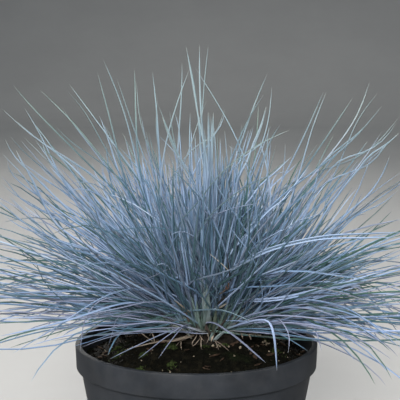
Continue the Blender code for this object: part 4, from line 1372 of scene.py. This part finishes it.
def make_pot(material):
    """A cylinder drawn in to the wall's taper, stepped under the rim band and hollowed."""
    pot = primitive(
        "cylinder", "nursery_pot", vertices=POT_SIDES, radius=RIM_RADIUS,
        depth=POT_HEIGHT, location=(0, 0, POT_HEIGHT / 2),
    )
    settle(pot)
    under = BAND_FOOT - BAND_UNDERSIDE
    edit(pot)
    cut_level(BAND_FOOT, under)
    outside = (
        (BAND_FOOT, RIM_RADIUS - BAND_DRAFT), (under, wall_outside(under)), (0, BASE_RADIUS)
    )
    for height, radius in outside:
        select_points(pot, lambda co: abs(co.z - height) < 1e-5)
        scale_points(radius / RIM_RADIUS, radius / RIM_RADIUS)
    select_points(pot, lambda co: co.z > POT_HEIGHT - 1e-5)
    bpy.ops.mesh.select_mode(type="FACE")
    bpy.ops.mesh.inset(thickness=LIP_WIDTH)
    inside = [(height, wall_outside(height) - WALL) for height in (BAND_FOOT, POT_FLOOR)]
    extrude_rings(inside, POT_HEIGHT, RIM_RADIUS - LIP_WIDTH)
    leave_edit()
    modify(
        pot, "BEVEL", width=POT_BEVEL, segments=3, limit_method="ANGLE",
        angle_limit=math.radians(30),
    )
    for hole in range(DRAIN_HOLES):
        angle = math.tau * (hole + 0.5) / DRAIN_HOLES
        cutter = primitive(
            "cylinder", "drain_cutter", vertices=28, radius=DRAIN_RADIUS, depth=4 * POT_FLOOR,
            location=(DRAIN_CIRCLE * math.cos(angle), DRAIN_CIRCLE * math.sin(angle), 0),
        )
        settle(cutter)
        modify(pot, "BOOLEAN", operation="DIFFERENCE", object=cutter)
        bpy.data.objects.remove(cutter)
    finish_piece(pot, "pot_plastic", material, "pot", smooth=35)


# Compost and crown


def soil_height(reach):
    """Height of the compost at this distance from the pot's axis, without its lumps."""
    share = (SOIL_RADIUS - reach) / (SOIL_RADIUS - SOIL_FLAT_RADIUS)
    return SOIL_EDGE + (SOIL_HIGH.z - SOIL_EDGE) * np.clip(share, 0, 1)


def soil_wall():
    """Inner radius of the pot where the compost meets it."""
    low = wall_outside(BAND_FOOT) - WALL
    high = RIM_RADIUS - LIP_WIDTH
    return low + (high - low) * (SOIL_EDGE - BAND_FOOT) / RIM_BAND - EDGE_GAP


def make_compost(material):
    """A disc inset in rings, raised to the mound, roughened, and drawn down into the pot."""
    wall = soil_wall()
    soil = primitive(
        "circle", "compost_fill", vertices=SOIL_SIDES, radius=wall, fill_type="NGON"
    )
    edit(soil)
    select_all()
    for _ in range(SOIL_RINGS):
        bpy.ops.mesh.inset(thickness=wall / (SOIL_RINGS + 1))
    bpy.ops.mesh.merge(type="CENTER")
    leave_edit()
    for vert in soil.data.vertices:
        vert.co.z = soil_height(vert.co.xy.length)
    for size, depth in SOIL_LUMPS:
        roughen(soil, size, depth, mid_level=0.5, direction="Z")
    edit(soil)
    select_all()
    bpy.ops.mesh.region_to_loop()
    low = POT_FLOOR + FLOOR_GAP
    sides = [(height, wall_outside(height) - WALL - SIDE_GAP) for height in (BAND_FOOT, low)]
    extrude_rings(sides, SOIL_EDGE, wall)
    scale_points(1, 1, 0, about=(0, 0, low))
    bpy.ops.mesh.edge_face_add()
    select_all()
    bpy.ops.mesh.normals_make_consistent(inside=False)
    leave_edit()
    finish_piece(soil, "compost", material, "compost", smooth=180)
    return soil


def make_thatch(material):
    """The crown's body: a low dome, roughened, that the sheaths stand in."""
    dome = primitive(
        "uv_sphere", "crown_thatch", segments=96, ring_count=48, radius=CROWN_RADIUS
    )
    edit(dome)
    cut_level(0, use_fill=True, clear_inner=True)
    select_all()
    scale_points(1, 1, CROWN_DOME / CROWN_RADIUS)
    leave_edit()
    dome.location = (CROWN_CENTRE.x, CROWN_CENTRE.y, CROWN_LOW.z)
    settle(dome)
    roughen(dome, 0.0030, 0.0030, mid_level=0.55)
    finish_piece(dome, "crown", material, "crown", smooth=180)


# Bits on the compost


def bit_shapes(name, seeds, rough, flat, detail=1):
    """Small faceted balls, roughened and flattened, as their points and faces."""
    shapes = []
    for seed in seeds:
        piece = primitive("ico_sphere", name, subdivisions=detail, radius=1.0)
        edit(piece)
        select_all()
        bpy.ops.transform.vertex_random(offset=rough, uniform=0, normal=0, seed=seed)
        scale_points(*flat)
        leave_edit()
        shapes.append((points_of(piece.data), faces_of(piece.data)))
        bpy.data.objects.remove(piece)
    return shapes


def scatter(name, material, shapes, places, sizes, tumble, smooth):
    """One finished piece: copies of the shapes at these places, each turned at random."""
    points, faces, start = [], [], 0
    for place, size in zip(places, sizes):
        shape, sides = shapes[rng.integers(len(shapes))]
        tilt = rng.normal(0, tumble, 2)
        turn = Euler((*tilt, rng.uniform(0, math.tau))).to_matrix()
        points.append(shape @ np.array(turn).T * size + place)
        faces += [[i + start for i in side] for side in sides]
        start += len(shape)
    piece = mesh_piece(name, np.concatenate(points), faces)
    finish_piece(piece, "compost", material, smooth=smooth)


class Ground:
    """The finished compost, to set things down on."""

    def __init__(self, soil):
        self.tree = BVHTree.FromPolygons([v.co for v in soil.data.vertices], faces_of(soil.data))

    def under(self, x, y):
        hit = self.tree.ray_cast(Vector((x, y, 1)), Vector((0, 0, -1)))[0]
        return np.array(hit) if hit else np.array((x, y, SOIL_EDGE))

    def seen(self, x, y):
        """The place on the compost at this pixel of the photograph."""
        near = Vector(seen_at(x, y, -0.2))
        hit = self.tree.ray_cast(CAMERA_PLACE, (near - CAMERA_PLACE).normalized())[0]
        return np.array(hit if hit else near)

    def anywhere(self, count, inner):
        """Places spread at random between this radius and the pot's wall."""
        outer = soil_wall() - 0.0015
        reach = np.sqrt(rng.uniform(inner**2, outer**2, count))
        turn = rng.uniform(0, math.tau, count)
        return [self.under(r * math.cos(a), r * math.sin(a)) for r, a in zip(reach, turn)]


def make_crumbs(ground, material):
    shapes = bit_shapes("crumb", range(1, 6), 0.42, (1.0, 0.8, 0.65))
    places = ground.anywhere(CRUMBS, 0.022)
    sizes = 0.0005 + 0.0017 * rng.random(CRUMBS) ** 2.6
    scatter("compost_crumbs", material, shapes, places, sizes, 0.8, 25)


def make_chips(ground, material):
    shapes = bit_shapes("chip", range(6, 10), 0.30, (1.0, 0.42, 0.16), 2)
    places = [place + (0, 0, 0.0006) for place in ground.anywhere(CHIPS, 0.030)]
    sizes = rng.uniform(0.0016, 0.0042, CHIPS)
    scatter("bark_chips", material, shapes, places, sizes, 0.30, 30)


def make_grit(ground, material):
    """The grit that is seen, and finer grit anywhere."""
    shapes = bit_shapes("grit", range(10, 14), 0.34, (1.0, 0.85, 0.75))
    seen = [ground.seen(x, y) for x, y in GRIT_SEEN]
    sizes = [*rng.uniform(0.0008, 0.0014, len(seen)), *rng.uniform(0.0003, 0.0008, GRIT)]
    places = [place + (0, 0, 0.0003) for place in seen + ground.anywhere(GRIT, 0.034)]
    scatter("pale_grit", material, shapes, places, sizes, 1.5, 25)


def make_moss(ground, material):
    """Cushions of tiny upright green shoots."""
    shapes = bit_shapes("moss", range(14, 18), 0.25, (0.34, 0.34, 1.0))
    middles = [ground.seen(x, y) for x, y in MOSS_SEEN]
    middles += ground.anywhere(MOSS_CUSHIONS, 0.040)
    places = []
    for middle in middles:
        wide = rng.uniform(0.0022, 0.0052)
        for _ in range(MOSS_IN_CUSHION):
            x, y = rng.normal(0, wide / 2, 2)
            place = ground.under(middle[0] + x, middle[1] + y)
            rise = 0.0011 * math.exp(-(x * x + y * y) / wide**2)
            places.append(place + (0, 0, rise))
    sizes = rng.uniform(0.0005, 0.0011, len(places))
    scatter("moss_cushions", material, shapes, places, sizes, 0.5, 60)


# Stage


def make_camera():
    data = bpy.data.cameras.new("camera")
    data.sensor_width = SENSOR
    data.lens = SENSOR * FOCAL_PIXELS / IMAGE_SIDE
    camera = bpy.data.objects.new("camera", data)
    camera.location = CAMERA_PLACE
    camera.rotation_euler = (math.radians(90 - CAMERA_PITCH), 0, 0)
    bpy.context.scene.collection.objects.link(camera)
    bpy.context.scene.camera = camera


def make_lamp(name, place, size, power, spread):
    """A round lamp that shines at the plant."""
    data = bpy.data.lights.new(name, "AREA")
    data.shape = "DISK"
    data.size = size
    data.energy = power
    data.color = LAMP_COLOUR
    data.spread = math.radians(spread)
    lamp = bpy.data.objects.new(name, data)
    lamp.location = place
    lamp.rotation_euler = (LAMP_AIM - Vector(place)).to_track_quat("-Z", "Y").to_euler()
    bpy.context.scene.collection.objects.link(lamp)


def make_cove():
    """A round pale floor that curves up into a wall, so that no edge shows behind."""
    cove = primitive("circle", "floor", vertices=96, radius=COVE_FLOOR, fill_type="NGON")
    edit(cove)
    select_all()
    bpy.ops.mesh.inset(thickness=0.001)
    select_points(cove, lambda co: co.xy.length > COVE_FLOOR - 1e-4)
    turns = [math.pi / 2 * i / COVE_STEPS for i in range(1, COVE_STEPS + 1)]
    rings = [
        (COVE_CURVE * (1 - math.cos(turn)), COVE_FLOOR + COVE_CURVE * math.sin(turn))
        for turn in turns
    ]
    extrude_rings([*rings, (COVE_HEIGHT, rings[-1][1])], 0.0, COVE_FLOOR)
    leave_edit()
    cove.data.shade_smooth()
    pale = plain_material("pale_floor", (0.31, 0.31, 0.307), (0.33, 0.33, 0.327), 3.0, 0.95)
    cove.data.materials.append(pale)


def make_stage():
    make_cove()
    world = bpy.data.worlds.new("studio")
    world.use_nodes = True
    background = world.node_tree.nodes["Background"]
    background.inputs["Color"].default_value = SKY_COLOUR
    background.inputs["Strength"].default_value = SKY_STRENGTH
    bpy.context.scene.world = world
    for lamp in LAMPS:
        make_lamp(*lamp)
    view = bpy.context.scene.view_settings
    view.view_transform = "Standard"
    view.look = "None"


make_camera()
make_stage()
LEAF_LOOK = ("leaf_blue", leaf_material())
DEAD_LOOK = ("crown", dead_leaf_material())
TUFT_FEET = leaf_tufts(LEAF_LOOK)
tall_leaves(LEAF_LOOK, TUFT_FEET)
front_leaves(LEAF_LOOK, TUFT_FEET)
side_leaves(LEAF_LOOK)
crossing_leaves(LEAF_LOOK)
make_sheaths(DEAD_LOOK)
make_foot_strands(DEAD_LOOK)
make_straws(DEAD_LOOK)
make_roots(DEAD_LOOK)
make_pot(plastic_material())

COMPOST_AND_SHADE = compost_and_shade_material()
BARK = plain_material("bark", (0.010, 0.007, 0.005), (0.044, 0.028, 0.019), 520.0)
STONE = plain_material("grit", (0.060, 0.050, 0.036), (0.200, 0.172, 0.130), 900.0)
MOSS = plain_material("moss", (0.006, 0.009, 0.003), (0.024, 0.036, 0.010), 700.0)
THATCH = plain_material("crown_thatch", (0.0020, 0.0018, 0.0014), (0.0090, 0.0072, 0.0050), 420.0)
GROUND = Ground(make_compost(COMPOST_AND_SHADE))
make_crumbs(GROUND, COMPOST_AND_SHADE)
make_chips(GROUND, BARK)
make_grit(GROUND, STONE)
make_moss(GROUND, MOSS)
make_thatch(THATCH)
